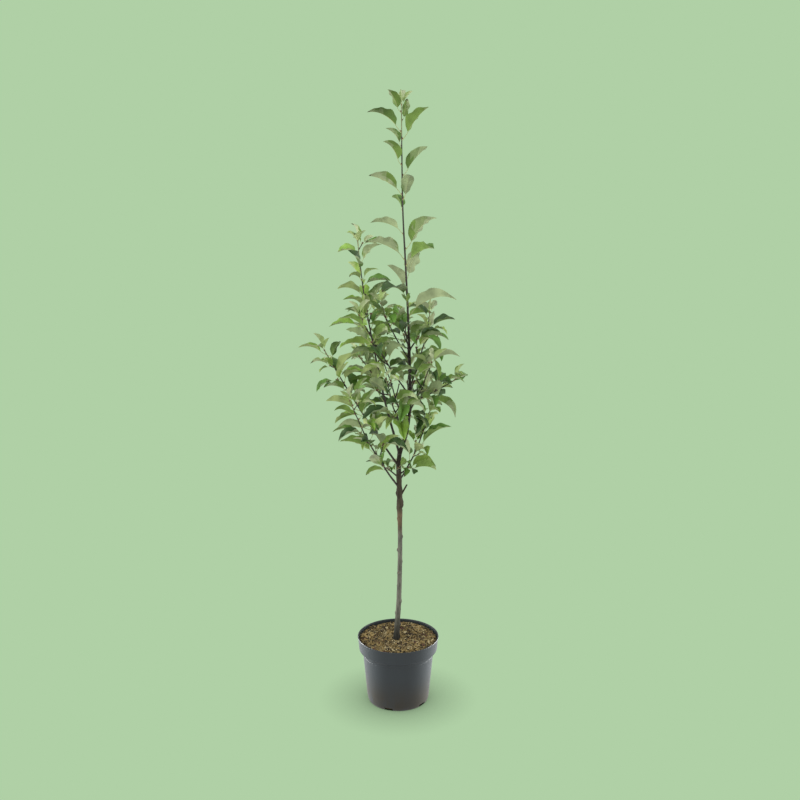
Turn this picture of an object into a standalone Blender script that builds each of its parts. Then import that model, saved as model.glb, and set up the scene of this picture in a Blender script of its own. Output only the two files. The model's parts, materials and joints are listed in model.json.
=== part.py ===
"""A young dwarf apple tree in a round nursery pot.

The tree has one leader that kinks at its fork, fourteen short side boughs and a few leafy spurs. Each
bough ends where its foliage starts, and the foliage is a shoot with side twigs, whose leaves climb round it.
Lengths are in metres and angles in degrees. Azimuth 0 is +X (right), 90 is +Y (back) and 180 is left.
The origin is the middle of the pot's flat underside.
"""

import math
import random

import bmesh
import bpy
from mathutils import Matrix, Vector
from mathutils.bvhtree import BVHTree

# Clearance that every solid keeps to its neighbours
GAP = 0.0003
UP = Vector((0, 0, 1))
FIRST_ACROSS = Vector((0.31, -0.95, 0.05))

# Pot: outer sizes, wall and drain slots
POT_HEIGHT = 0.125
RIM_RADIUS = 0.075
COLLAR_HEIGHT = 0.025
COLLAR_FOOT_RADIUS = 0.0722
STEP_HEIGHT = 0.005
BODY_TOP_RADIUS = 0.0655
BODY_FOOT_RADIUS = 0.0575
FOOT_HEIGHT = 0.008
BASE_RADIUS = 0.0548
LIP_DROP = 0.0018
LIP_ROUND = 0.0007
POT_WALL = 0.0016
POT_SEGMENTS = 40
DRAIN_SLOTS = 5
DRAIN_TURN = 251
DRAIN_WIDTH = 0.017
DRAIN_HEIGHT = 0.0052

# Potting mix
SOIL_LEVEL = 0.1185
SOIL_ROUGHNESS = 0.0014
SOIL_RINGS = (0.24, 0.52, 0.80, 1.0)
SOIL_SEED = 4

# Trunk and leader: (height, x, y) of the bends, and (height, radius) of the taper.
# The swelling at 0.385 is the graft, and the stem kinks to the right above the fork at 0.47.
TRUNK_BENDS = (
    (0.1185, -0.0030, 0.000),
    (0.200, 0.0016, 0.001),
    (0.300, 0.0036, -0.001),
    (0.400, 0.0026, 0.000),
    (0.470, 0.0020, 0.001),
    (0.510, 0.0140, 0.002),
    (0.550, 0.0203, 0.001),
    (0.640, 0.0205, 0.000),
    (0.720, 0.0176, 0.001),
    (0.800, 0.0137, 0.002),
    (0.900, 0.0085, 0.001),
    (1.000, 0.0066, 0.000),
    (1.080, 0.0060, 0.000),
)
TRUNK_TAPER = (
    (0.1185, 0.0064),
    (0.128, 0.0055),
    (0.160, 0.0047),
    (0.250, 0.0042),
    (0.345, 0.0040),
    (0.370, 0.0051),
    (0.392, 0.0054),
    (0.415, 0.0045),
    (0.455, 0.0048),
    (0.485, 0.0042),
    (0.540, 0.0033),
    (0.640, 0.0028),
    (0.720, 0.0024),
    (0.850, 0.0019),
    (1.000, 0.0015),
    (1.080, 0.0011),
)
TRUNK_STEP = 0.012
TRUNK_SIDES = 10
FLARE_LOBES = 4
FLARE_DEPTH = 0.16
FLARE_HEIGHT = 0.020
LEADER_START = 0.700
LEADER_TIP = 1.078

# Snag: the dead stub of a shoot that was pruned off above the graft
SNAG_HEIGHT = 0.394
SNAG_AZIMUTH = 12
SNAG_RISE = 58
SNAG_LENGTH = 0.026
SNAG_RADIUS = 0.0016
SNAG_SIDES = 5

# Boughs: height on the trunk, azimuth, length with its shoot, rise at foot and tip, radius at the foot, seed
BOUGHS = {
    "left_low": (0.412, 212, 0.200, 52, 69, 0.0022, 58),
    "right_low": (0.424, 20, 0.140, 56, 76, 0.0019, 54),
    "left_wide": (0.452, 188, 0.250, 56, 62, 0.0023, 54),
    "left_tall": (0.474, 160, 0.385, 73, 84, 0.0026, 95),
    "back_low": (0.492, 82, 0.150, 44, 66, 0.0019, 30),
    "front_left": (0.506, 247, 0.150, 48, 64, 0.0019, 29),
    "back_left": (0.524, 122, 0.150, 46, 64, 0.0018, 94),
    "left_inner": (0.541, 172, 0.140, 48, 55, 0.0018, 90),
    "front_right": (0.556, 305, 0.115, 48, 68, 0.0017, 51),
    "right_mid": (0.570, 346, 0.092, 24, 36, 0.0017, 72),
    "left_mid": (0.581, 205, 0.178, 54, 62, 0.0018, 49),
    "right_tall": (0.598, 42, 0.135, 60, 80, 0.0017, 4),
    "back_high": (0.628, 98, 0.110, 48, 66, 0.0016, 46),
    "left_high": (0.647, 190, 0.112, 56, 72, 0.0016, 96),
}
BOUGH_SIDES = 6
STEM_SIDES = 3
BOUGH_STEP = 0.012
BOUGH_BARE = 0.24
BOUGH_WAVE = 0.0011
SHOOT_TIP_RADIUS = 0.0010

# Spurs: short shoots with a rosette of leaves, straight on the trunk: height, azimuth, length, rise, seed
SPURS = {
    "low_front": (0.437, 266, 0.024, 42, 31),
    "low_left": (0.431, 160, 0.022, 34, 32),
    "low_right": (0.436, 325, 0.024, 40, 33),
    "mid_front": (0.531, 285, 0.020, 50, 34),
    "mid_back": (0.588, 60, 0.020, 48, 35),
    "high_front": (0.614, 262, 0.024, 54, 36),
    "high_right": (0.664, 352, 0.026, 56, 37),
    "high_left": (0.684, 150, 0.022, 52, 38),
}
SPUR_RADIUS = 0.0015
SPUR_LEAVES = 5

# Leaves up the leader, from below: height of the foot, azimuth, blade length, rise from foot to tip
LEADER_LEAVES = (
    (0.706, 205, 0.042, -8),
    (0.722, 352, 0.074, 17),
    (0.740, 262, 0.036, 22),
    (0.750, 186, 0.068, 8),
    (0.765, 138, 0.046, 42),
    (0.785, 62, 0.050, 30),
    (0.810, 322, 0.064, 18),
    (0.820, 190, 0.062, 20),
    (0.838, 12, 0.062, 38),
    (0.864, 168, 0.049, 12),
    (0.900, 108, 0.042, 20),
    (0.922, 305, 0.046, 48),
    (0.930, 182, 0.054, 21),
    (0.962, 6, 0.052, 43),
    (0.980, 216, 0.046, 42),
    (1.010, 128, 0.034, 34),
    (1.022, 348, 0.057, 44),
    (1.034, 184, 0.055, 23),
    (1.052, 48, 0.032, 46),
    (1.066, 172, 0.037, 48),
)
LEADER_LEAF_ARCH = 46
LEADER_STALK_RISE = 52
LEADER_STALK_LIFT = 14
LEADER_SEED = 94

# Side twigs of the shoots: one for each stretch of shoot, short, with a rosette of small leaves. They start
# between two shares of the shoot's length and bend up a little.
TWIG_EVERY = 0.090
TWIG_FROM = 0.10
TWIG_TO = 0.66
TWIG_LENGTH = 0.026
TWIG_SPREAD = 44
TWIG_RADIUS = 0.0011
TWIG_LEAVES = 3
TWIG_LIFT = 0.25

# Leaves elsewhere: a spiral up each shoot. They turn their faces to the light, which came from behind.
INTERNODE = 0.0138
DIVERGENCE = 137.5
LIGHT = Vector((0.06, 0.42, 0.90)).normalized()
STALK_LENGTH = 0.27
STALK_RADIUS = 0.0005
STALK_LIFT = 0.25
LEAF_LENGTH_FOOT = 0.055
LEAF_LENGTH_TIP = 0.038
LEAF_WIDTH = 0.60
LEAF_THICKNESS = 0.014
LEAF_SPREAD = 52
LEAF_SWING = 0.40
LEAF_RISE = 24
LEAF_ARCH = 46
LEAF_FOLD = 36
LARGE_LEAF = 0.042
LARGE_STATIONS = (0.13, 0.43, 0.76)
SMALL_STATIONS = (0.22, 0.64)
TIP_LEAVES = 3
TIP_DIVERGENCE = 128
YOUNG_SPREAD = 30
YOUNG_ARCH = 42
YOUNG_FOLD = 42
ROSETTE_SPREAD = 62
ROSETTE_CLOSING = 7
TRIES = 9
TRY_TURN = 26
SPACE_RADIUS = 0.095

# At last each blade is turned at its stalk's end: the largest angles about its side, its face and its rib
LOOSE_RISE = 28
LOOSE_SWING = 16
LOOSE_ROLL = 40
LOOSE_TRIES = 4
LOOSE_SEED = 4


# Curves through named rows


def on_curve(rows, at):
    """Values at `at` on a smooth curve through rows of (station, value, ...)."""
    last = len(rows) - 1
    i = max(k for k in range(last) if k == 0 or rows[k][0] <= at)
    share = min(1.0, max(0.0, (at - rows[i][0]) / (rows[i + 1][0] - rows[i][0])))
    values = []
    for column in range(1, len(rows[0])):
        before, a, b, after = (rows[min(last, max(0, i + k))][column] for k in (-1, 0, 1, 2))
        bend = (b - before) * 0.5, (after - a) * 0.5
        s2, s3 = share * share, share * share * share
        values.append(
            a * (2 * s3 - 3 * s2 + 1)
            + b * (3 * s2 - 2 * s3)
            + bend[0] * (s3 - 2 * s2 + share)
            + bend[1] * (s3 - s2)
        )
    return values


def between(rows, at):
    """Value at `at` on straight lines through rows of (station, value)."""
    for (a, u), (b, v) in zip(rows, rows[1:]):
        if at <= b:
            return u + (v - u) * max(0.0, at - a) / (b - a)
    return rows[-1][1]


def trunk_point(height):
    x, y = on_curve(TRUNK_BENDS, height)
    return Vector((x, y, height))


def trunk_radius(height):
    return between(TRUNK_TAPER, height)


def heading(azimuth, rise):
    """Unit vector with that compass direction and that rise above level."""
    a, r = math.radians(azimuth), math.radians(rise)
    return Vector((math.cos(a) * math.cos(r), math.sin(a) * math.cos(r), math.sin(r)))


# Limbs


class Limb:
    """A tapering stem: points along its middle, and the radius at each."""

    def __init__(self, points, radii):
        self.points = points
        self.radii = radii
        self.stations = [0.0]
        for a, b in zip(points, points[1:]):
            self.stations.append(self.stations[-1] + (b - a).length)
        self.length = self.stations[-1]

    def at(self, distance):
        """Middle point, direction and radius at that distance from the foot."""
        i = max(k for k in range(len(self.points) - 1) if k == 0 or self.stations[k] <= distance)
        a, b = self.points[i], self.points[i + 1]
        share = (distance - self.stations[i]) / (self.stations[i + 1] - self.stations[i])
        radius = self.radii[i] + (self.radii[i + 1] - self.radii[i]) * share
        return a.lerp(b, share), (b - a).normalized(), radius

    def part(self, start, end):
        """The stretch of this limb between two distances from its foot."""
        inner = [s for s in self.stations if start + 0.002 < s < end - 0.002]
        found = [self.at(s) for s in (start, *inner, end)]
        return Limb([f[0] for f in found], [f[2] for f in found])


def trunk_limb(bottom, top):
    count = round((top - bottom) / TRUNK_STEP)
    heights = [bottom + (top - bottom) * i / count for i in range(count + 1)]
    return Limb([trunk_point(z) for z in heights], [trunk_radius(z) for z in heights])


def bough_limb(height, azimuth, length, rise_foot, rise_tip, foot_radius, seed):
    """A side bough with its shoot, from the trunk's middle out, with a slight wave in its run."""
    start = trunk_point(height)
    count = round(length / BOUGH_STEP)
    step = length / count
    phase = random.Random(seed).uniform(0, math.tau)
    side = heading(azimuth + 90, 0)
    middle = start.copy()
    points, radii = [], []
    for i in range(count + 1):
        share = i / count
        wave = BOUGH_WAVE * min(1.0, 4 * share) * math.sin(phase + share * 4 * math.pi)
        points.append(middle + side * wave)
        radii.append(foot_radius + (SHOOT_TIP_RADIUS - foot_radius) * share**0.8)
        middle = middle + heading(azimuth, rise_foot + (rise_tip - rise_foot) * share) * step
    return Limb(points, radii)


def spur_limb(height, azimuth, length, rise):
    start = trunk_point(height)
    reach = length + trunk_radius(height)
    points = [start + heading(azimuth, rise) * reach * share for share in (0, 0.5, 1)]
    return Limb(points, [SPUR_RADIUS, SPUR_RADIUS, SHOOT_TIP_RADIUS])


# Leaves


class Leaf:
    """A stalk and a blade. The blade arches down along its rib and folds up to its edges."""

    def __init__(self, foot, base, along, up, length, arch, fold):
        self.foot = foot
        self.base = base
        self.along = along
        self.up = up
        self.length = length
        self.arch = math.radians(arch)
        self.fold = math.radians(fold)
        self.side = along.cross(up)

    def rib(self, t):
        turn = self.arch * t
        forward, down = math.sin(turn) / self.arch, (1 - math.cos(turn)) / self.arch
        return self.base + self.length * (forward * self.along - down * self.up)

    def up_at(self, t):
        turn = self.arch * t
        return math.sin(turn) * self.along + math.cos(turn) * self.up

    def half_width(self, t):
        return 0.5 * LEAF_WIDTH * self.length * math.sin(math.pi * t**0.8) ** 0.75

    def edge(self, t, hand):
        """Point on the blade's left (-1) or right (1) edge."""
        out = hand * math.cos(self.fold) * self.side + math.sin(self.fold) * self.up_at(t)
        return self.rib(t) + self.half_width(t) * out

    def turned(self, rise, swing, roll):
        """The same stalk with its blade turned about its three axes."""
        turn = (
            Matrix.Rotation(math.radians(rise), 3, self.side)
            @ Matrix.Rotation(math.radians(swing), 3, self.up)
            @ Matrix.Rotation(math.radians(roll), 3, self.along)
        )
        bends = math.degrees(self.arch), math.degrees(self.fold)
        return Leaf(self.foot, self.base, turn @ self.along, turn @ self.up, self.length, *bends)

    def rings(self):
        """Four-cornered sections of stalk and blade, from the foot to the last before the tip."""
        run = (self.base - self.foot).normalized()
        side = (self.side - run * self.side.dot(run)).normalized()
        lift = side.cross(run)
        foot_radius = STALK_RADIUS * 1.15
        rings = [
            [self.foot + foot_radius * v for v in (-side, lift, side, -lift)],
            [self.base + STALK_RADIUS * v for v in (-self.side, self.up, self.side, -self.up)],
        ]
        half_thick = 0.5 * LEAF_THICKNESS * self.length
        stations = LARGE_STATIONS if self.length > LARGE_LEAF else SMALL_STATIONS
        for t in stations:
            rib, up = self.rib(t), self.up_at(t)
            rings.append([self.edge(t, -1), rib + up * half_thick, self.edge(t, 1), rib - up * half_thick])
        return rings

    def shape(self, first_ring=0):
        """Points and faces of the leaf as one closed solid, or of its blade alone from a later ring."""
        rings = self.rings()[first_ring:]
        points = [p for ring in rings for p in ring] + [self.rib(1.0)]
        faces = [(3, 2, 1, 0)]
        for i in range(len(rings) - 1):
            for k in range(4):
                a, b = 4 * i + k, 4 * i + (k + 1) % 4
                faces.append((a, b, b + 4, a + 4))
        last = 4 * (len(rings) - 1)
        faces += [(last + k, last + (k + 1) % 4, len(points) - 1) for k in range(4)]
        return points, faces


def make_leaf(stem, distance, azimuth, length, spread, arch, fold, roll):
    """A leaf that leaves the stem at that distance, azimuth and spread, and swings out to the level."""
    foot, run, radius = stem.at(distance)
    flat = heading(azimuth, 0)
    out = flat - run * flat.dot(run)
    if out.length < 0.2:
        out = run.cross(UP.cross(run))
    angle = math.radians(spread)
    stalk = math.cos(angle) * run + math.sin(angle) * out.normalized()
    along = stalk.lerp(heading(azimuth, LEAF_RISE + 0.5 * arch), LEAF_SWING)
    return hang_leaf(foot, radius, stalk + STALK_LIFT * UP, along, length, arch, fold, roll)


def make_leader_leaf(stem, height, azimuth, length, rise, arch, fold, roll):
    """A leaf on the upright leader, by its height and the rise from its foot to its tip."""
    low, high = stem.points[0].z, stem.points[-1].z
    foot, _, radius = stem.at((height - low) / (high - low) * stem.length)
    lift = rise + 0.5 * arch
    stalk = heading(azimuth, min(LEADER_STALK_RISE, lift + LEADER_STALK_LIFT))
    return hang_leaf(foot, radius, stalk, heading(azimuth, lift), length, arch, fold, roll)


def hang_leaf(foot, radius, stalk, along, length, arch, fold, roll):
    """Stalk out of the stem's middle, then the blade, its face turned to the light and rolled a little."""
    base = foot + stalk.normalized() * (STALK_LENGTH * length + radius)
    along = along.normalized()
    up = LIGHT - along * LIGHT.dot(along)
    if up.length < 0.25:
        up = up + 0.5 * along.cross(Vector((1, 0, 0)))
    up.normalize()
    tilt = math.radians(roll)
    up = math.cos(tilt) * up + math.sin(tilt) * along.cross(up)
    return Leaf(foot, base, along, up, length, arch, fold)


class Crown:
    """All limbs and leaves so far, so that a new leaf can keep clear of them."""

    def __init__(self):
        self.limbs = []
        self.leaves = []

    def add_limb(self, limb, owner):
        points, faces = tube(limb, 5, 2 * GAP)
        self.limbs.append((BVHTree.FromPolygons(points, faces), owner, limb))

    def nearest_owner(self, point):
        """The owner of the shoot or limb that passes nearest to a point."""
        return min((tree.find_nearest(point)[3], owner) for tree, owner, _ in self.limbs)[1]

    def clear(self, leaf, owner, instead_of=None):
        """Whether the leaf stays in its own shoot's space and touches no limb or other leaf."""
        if (leaf.rib(1.0) - leaf.foot).length > SPACE_RADIUS:
            return False
        if self.nearest_owner(leaf.rib(0.5)) != owner:
            return False
        blade = BVHTree.FromPolygons(*swollen(leaf.shape(1)))
        whole = BVHTree.FromPolygons(*swollen(leaf.shape()))
        for tree, other, _ in self.limbs:
            if (blade if other == owner else whole).overlap(tree):
                return False
        middle = leaf.rib(0.4)
        for tree, other, centre, there in self.leaves:
            near = there is not instead_of and (centre - middle).length < 2 * SPACE_RADIUS
            if near and (blade if other == owner else whole).overlap(tree):
                return False
        return True

    def room_for(self, limb, owner):
        """Whether a new twig touches no other shoot's limb."""
        tree = BVHTree.FromPolygons(*tube(limb, 5, 2 * GAP))
        return not any(tree.overlap(there) for there, other, _ in self.limbs if other != owner)

    def add_leaf(self, leaf, owner):
        self.leaves.append((BVHTree.FromPolygons(*leaf.shape()), owner, leaf.rib(0.4), leaf))

    def loosen(self, owner, leaves, rng):
        """Turns each blade by seeded angles, where it stays clear, so that no two hang alike."""
        found = []
        for leaf in leaves:
            for _ in range(LOOSE_TRIES):
                angles = [rng.uniform(-most, most) for most in (LOOSE_RISE, LOOSE_SWING, LOOSE_ROLL)]
                turned = leaf.turned(*angles)
                if self.clear(turned, owner, instead_of=leaf):
                    self.leaves = [entry for entry in self.leaves if entry[-1] is not leaf]
                    self.add_leaf(turned, owner)
                    leaf = turned
                    break
            found.append(leaf)
        return found


def swollen(shape):
    """The shape with each four-cornered section pushed out by the clearance."""
    points, faces = shape
    grown = list(points)
    for i in range(0, len(points) - 1, 4):
        ring = points[i : i + 4]
        middle = sum(ring, Vector()) / 4
        for k, p in enumerate(ring):
            away = p - middle
            grown[i + k] = p + away.normalized() * 2 * GAP
    return grown, faces


def first_clear(crown, owner, make, azimuth):
    """The first of a few turns about the stem at which the leaf is clear, or None."""
    for n in range(TRIES):
        turn = (n + 1) // 2 * TRY_TURN * (1 if n % 2 else -1)
        leaf = make(azimuth + turn)
        if crown.clear(leaf, owner):
            return leaf
    return None


def leader_leaves(crown, stem):
    """The leader's leaves where the tree has them, each hung with a little seeded unevenness."""
    rng = random.Random(LEADER_SEED)
    found = []
    for height, azimuth, length, rise in LEADER_LEAVES:
        shape = (
            LEADER_LEAF_ARCH + rng.uniform(-16, 16),
            LEAF_FOLD + rng.uniform(-9, 9),
            rng.uniform(-14, 14),
        )
        leaf = first_clear(
            crown,
            "leader",
            lambda turned, h=height, s=length, r=rise, f=shape: make_leader_leaf(stem, h, turned, s, r, *f),
            azimuth,
        )
        if leaf:
            crown.add_leaf(leaf, "leader")
            found.append(leaf)
    return found + tip_leaves(crown, "leader", stem, rng, LEAF_LENGTH_TIP)


def grow_shoot(crown, owner, stem, seed):
    """Side twigs and leaves of a shoot, by a seeded rule."""
    rng = random.Random(seed)
    twigs = side_twigs(crown, owner, stem, rng)
    leaves = spiral_leaves(crown, owner, stem, rng)
    for twig in twigs:
        leaves += rosette(crown, owner, twig, TWIG_LEAVES, rng)
    return twigs, leaves + tip_leaves(crown, owner, stem, rng, LEAF_LENGTH_TIP)


def side_twigs(crown, owner, stem, rng):
    """Short twigs that branch from the lower part of a shoot, round it in a spiral."""
    count = round(stem.length / TWIG_EVERY)
    azimuth = rng.uniform(0, 360)
    twigs = []
    for i in range(count):
        share = TWIG_FROM + (TWIG_TO - TWIG_FROM) * (i + rng.uniform(0.1, 0.9)) / count
        azimuth += DIVERGENCE + rng.uniform(-30, 30)
        foot, run, _ = stem.at(share * stem.length)
        flat = heading(azimuth, 0)
        out = (flat - run * flat.dot(run)).normalized()
        angle = math.radians(TWIG_SPREAD)
        way = math.cos(angle) * run + math.sin(angle) * out
        reach = TWIG_LENGTH * rng.uniform(0.7, 1.25)
        bend = foot + way * 0.5 * reach
        tip = bend + way.lerp(UP, TWIG_LIFT).normalized() * 0.5 * reach
        twig = Limb([foot, bend, tip], [TWIG_RADIUS, TWIG_RADIUS, SHOOT_TIP_RADIUS])
        if crown.room_for(twig, owner):
            crown.add_limb(twig, owner)
            twigs.append(twig)
    return twigs


def spiral_leaves(crown, owner, stem, rng):
    """Leaves up a shoot in a spiral with seeded unevenness, the largest low down."""
    azimuth = rng.uniform(0, 360)
    count = max(2, int((stem.length - 0.006) / INTERNODE))
    found = []
    for i in range(count):
        share = (i + 0.35) / count
        distance = min(stem.length - 0.002, (share + rng.uniform(-0.15, 0.15) / count) * stem.length)
        azimuth += DIVERGENCE + rng.uniform(-18, 18)
        size = (LEAF_LENGTH_FOOT + (LEAF_LENGTH_TIP - LEAF_LENGTH_FOOT) * share) * rng.uniform(0.82, 1.17)
        shape = (
            LEAF_SPREAD + rng.uniform(-9, 9),
            LEAF_ARCH * (0.7 + 0.4 * size / LEAF_LENGTH_FOOT) + rng.uniform(-18, 18),
            LEAF_FOLD + rng.uniform(-10, 10),
            rng.uniform(-28, 28),
        )
        leaf = first_clear(
            crown,
            owner,
            lambda turned, d=distance, s=size, f=shape: make_leaf(stem, d, turned, s, *f),
            azimuth,
        )
        if leaf:
            crown.add_leaf(leaf, owner)
            found.append(leaf)
    return found


def rosette(crown, owner, stem, count, rng):
    """Small leaves close together round the end of a twig or spur."""
    azimuth = rng.uniform(0, 360)
    found = []
    for i in range(count):
        size = LEAF_LENGTH_FOOT * rng.uniform(0.60, 0.90)
        place = stem.length * (0.93 - 0.05 * i)
        shape = (
            ROSETTE_SPREAD - ROSETTE_CLOSING * i + rng.uniform(-6, 6),
            LEAF_ARCH + rng.uniform(-15, 25),
            LEAF_FOLD + rng.uniform(-8, 8),
            rng.uniform(-15, 15),
        )
        leaf = first_clear(
            crown,
            owner,
            lambda turned, d=place, s=size, f=shape: make_leaf(stem, d, turned, s, *f),
            azimuth + i * DIVERGENCE,
        )
        if leaf:
            crown.add_leaf(leaf, owner)
            found.append(leaf)
    return found


def tip_leaves(crown, owner, stem, rng, length):
    """The youngest leaves, small and nearly upright round the shoot's tip."""
    found = []
    turn = rng.uniform(0, 360)
    for i in range(TIP_LEAVES):
        size = length * (0.80 - 0.13 * i)
        shape = (YOUNG_SPREAD - ROSETTE_CLOSING * i, YOUNG_ARCH - 8 * i, YOUNG_FOLD, 0)
        leaf = first_clear(
            crown,
            owner,
            lambda turned, s=size, f=shape: make_leaf(stem, stem.length - 0.0015, turned, s, *f),
            turn + i * TIP_DIVERGENCE,
        )
        if leaf:
            crown.add_leaf(leaf, owner)
            found.append(leaf)
    return found


# Meshes


def tube(limb, sides, swell=0.0, shape=None):
    """Points and faces of a capped tube round a limb. `shape` gives a factor on the radius at a point."""
    points, faces = [], []
    last = len(limb.points) - 1
    across = FIRST_ACROSS
    for i, (middle, radius) in enumerate(zip(limb.points, limb.radii)):
        run = (limb.points[min(last, i + 1)] - limb.points[max(0, i - 1)]).normalized()
        across = (across - run * across.dot(run)).normalized()
        over = run.cross(across)
        for k in range(sides):
            angle = math.tau * k / sides
            size = (radius + swell) * (shape(angle, middle) if shape else 1.0)
            points.append(middle + size * (math.cos(angle) * across + math.sin(angle) * over))
    for i in range(last):
        for k in range(sides):
            a, b = i * sides + k, i * sides + (k + 1) % sides
            faces.append((a, b, b + sides, a + sides))
    faces.append(tuple(range(sides - 1, -1, -1)))
    faces.append(tuple(last * sides + k for k in range(sides)))
    return points, faces


def level_first_ring(points, sides, height):
    """Puts a tube's first ring on one level, as a flat cut."""
    for p in points[:sides]:
        p.z = height


def make_object(name, shape, finish=None):
    mesh = bpy.data.meshes.new(name)
    points, faces = shape
    mesh.from_pydata([tuple(p) for p in points], [], faces)
    work = bmesh.new()
    work.from_mesh(mesh)
    bmesh.ops.recalc_face_normals(work, faces=work.faces)
    work.to_mesh(mesh)
    work.free()
    obj = bpy.data.objects.new(name, mesh)
    bpy.context.scene.collection.objects.link(obj)
    if finish:
        mesh.materials.append(finish)
    return obj


def apply_boolean(obj, operation, other):
    """Applies a Boolean of obj with another object, or with all of a collection, and removes what it used."""
    modifier = obj.modifiers.new("join", "BOOLEAN")
    modifier.operation = operation
    modifier.solver = "EXACT"
    used = [other]
    if isinstance(other, bpy.types.Collection):
        modifier.operand_type = "COLLECTION"
        modifier.collection = other
        used = list(other.objects)
    else:
        modifier.object = other
    graph = bpy.context.evaluated_depsgraph_get()
    joined = bpy.data.meshes.new_from_object(obj.evaluated_get(graph))
    obj.modifiers.clear()
    obj.data = joined
    for cutter in used:
        bpy.data.objects.remove(cutter)


def material(name, colour, roughness):
    made = bpy.data.materials.new(name)
    made.use_nodes = True
    shader = made.node_tree.nodes["Principled BSDF"]
    shader.inputs["Base Color"].default_value = (*colour, 1.0)
    shader.inputs["Roughness"].default_value = roughness
    shader.inputs["Metallic"].default_value = 0.0
    return made


# Pot and potting mix


def outer_wall(height):
    """Radius of the pot's outside at a height."""
    collar_foot = POT_HEIGHT - COLLAR_HEIGHT
    return between(
        (
            (0.0, BASE_RADIUS),
            (FOOT_HEIGHT, BODY_FOOT_RADIUS),
            (collar_foot - STEP_HEIGHT, BODY_TOP_RADIUS),
            (collar_foot, COLLAR_FOOT_RADIUS),
            (POT_HEIGHT - LIP_DROP, RIM_RADIUS - LIP_ROUND),
            (POT_HEIGHT, RIM_RADIUS),
        ),
        height,
    )


def turned(profile, segments):
    """Points and faces of a profile of (radius, height) turned about the upright axis, with flat ends."""
    points, faces = [], []
    for radius, height in profile:
        for k in range(segments):
            angle = math.tau * k / segments
            points.append(Vector((radius * math.cos(angle), radius * math.sin(angle), height)))
    for i in range(len(profile) - 1):
        for k in range(segments):
            a, b = i * segments + k, i * segments + (k + 1) % segments
            faces.append((a, b, b + segments, a + segments))
    faces.append(tuple(range(segments)))
    faces.append(tuple((len(profile) - 1) * segments + k for k in range(segments)))
    return points, faces


def make_pot(plastic):
    collar_foot = POT_HEIGHT - COLLAR_HEIGHT
    breaks = (FOOT_HEIGHT, collar_foot - STEP_HEIGHT, collar_foot, POT_HEIGHT - LIP_DROP)
    outside = [(BASE_RADIUS, 0.0)] + [(outer_wall(z), z) for z in breaks]
    lip = [
        (RIM_RADIUS, POT_HEIGHT - LIP_DROP),
        (RIM_RADIUS, POT_HEIGHT - LIP_ROUND),
        (RIM_RADIUS - LIP_ROUND, POT_HEIGHT),
        (RIM_RADIUS - POT_WALL, POT_HEIGHT),
    ]
    inside = [(outer_wall(z) - POT_WALL, z) for z in reversed(breaks)]
    floor = [(outer_wall(POT_WALL) - POT_WALL, POT_WALL)]
    pot = make_object("pot", turned(outside + lip + inside + floor, POT_SEGMENTS), plastic)
    slots = bpy.data.collections.new("drain_slots")
    for k in range(DRAIN_SLOTS):
        angle = math.radians(DRAIN_TURN + 360 * k / DRAIN_SLOTS)
        slot = make_object(f"drain_slot_{k}", drain_slot(angle))
        slots.objects.link(slot)
        bpy.context.scene.collection.objects.unlink(slot)
    apply_boolean(pot, "DIFFERENCE", slots)
    return pot


def drain_slot(angle):
    """A block that cuts one slot through the foot of the wall."""
    out = Vector((math.cos(angle), math.sin(angle), 0))
    across = Vector((-out.y, out.x, 0))
    near, far = BASE_RADIUS - 3.2 * POT_WALL, BODY_FOOT_RADIUS + POT_WALL
    points = []
    for z, half in ((-POT_WALL, 0.5 * DRAIN_WIDTH), (DRAIN_HEIGHT, 0.38 * DRAIN_WIDTH)):
        for radius, hand in ((near, -1), (far, -1), (far, 1), (near, 1)):
            points.append(out * radius + across * hand * half + UP * z)
    faces = [(3, 2, 1, 0), (4, 5, 6, 7)]
    faces += [(k, (k + 1) % 4, 4 + (k + 1) % 4, 4 + k) for k in range(4)]
    return points, faces


def make_soil(mix):
    """The potting mix fills the pot to just under its rim, crumbly on top and flat at the trunk."""
    collar_foot = POT_HEIGHT - COLLAR_HEIGHT
    heights = (POT_WALL + GAP, FOOT_HEIGHT, collar_foot - STEP_HEIGHT, collar_foot, SOIL_LEVEL)
    play = POT_WALL + 1.5 * GAP
    profile = [(outer_wall(z) - play, z) for z in heights]
    edge = profile[-1][0]
    profile += [(edge * share, SOIL_LEVEL) for share in reversed(SOIL_RINGS[:-1])]
    points, faces = turned(profile, POT_SEGMENTS)
    rng = random.Random(SOIL_SEED)
    first_top = (len(heights) - 1) * POT_SEGMENTS
    last_ring = (len(profile) - 1) * POT_SEGMENTS
    for p in points[first_top:last_ring]:
        p.z -= rng.uniform(0, SOIL_ROUGHNESS)
    return make_object("potting_mix", (points, faces), mix)


# The tree


def make_trunk(bark):
    limb = trunk_limb(SOIL_LEVEL + GAP, LEADER_START)

    def flare(angle, middle):
        fade = max(0.0, 1 - (middle.z - SOIL_LEVEL) / FLARE_HEIGHT)
        return 1 + FLARE_DEPTH * fade * math.cos(FLARE_LOBES * angle)

    points, faces = tube(limb, TRUNK_SIDES, shape=flare)
    level_first_ring(points, TRUNK_SIDES, SOIL_LEVEL + GAP)
    trunk = make_object("trunk", (points, faces), bark)
    start = trunk_point(SNAG_HEIGHT)
    end = start + heading(SNAG_AZIMUTH, SNAG_RISE) * SNAG_LENGTH
    snag = Limb([start, end], [SNAG_RADIUS * 1.3, SNAG_RADIUS])
    apply_boolean(trunk, "UNION", make_object("snag", tube(snag, SNAG_SIDES)))
    return limb


def cut_clear_of_trunk(obj, trunk_run):
    """Ends a limb at the trunk's surface, with the clearance between them."""
    apply_boolean(obj, "DIFFERENCE", make_object("clearance", tube(trunk_run, TRUNK_SIDES, GAP)))


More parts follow.
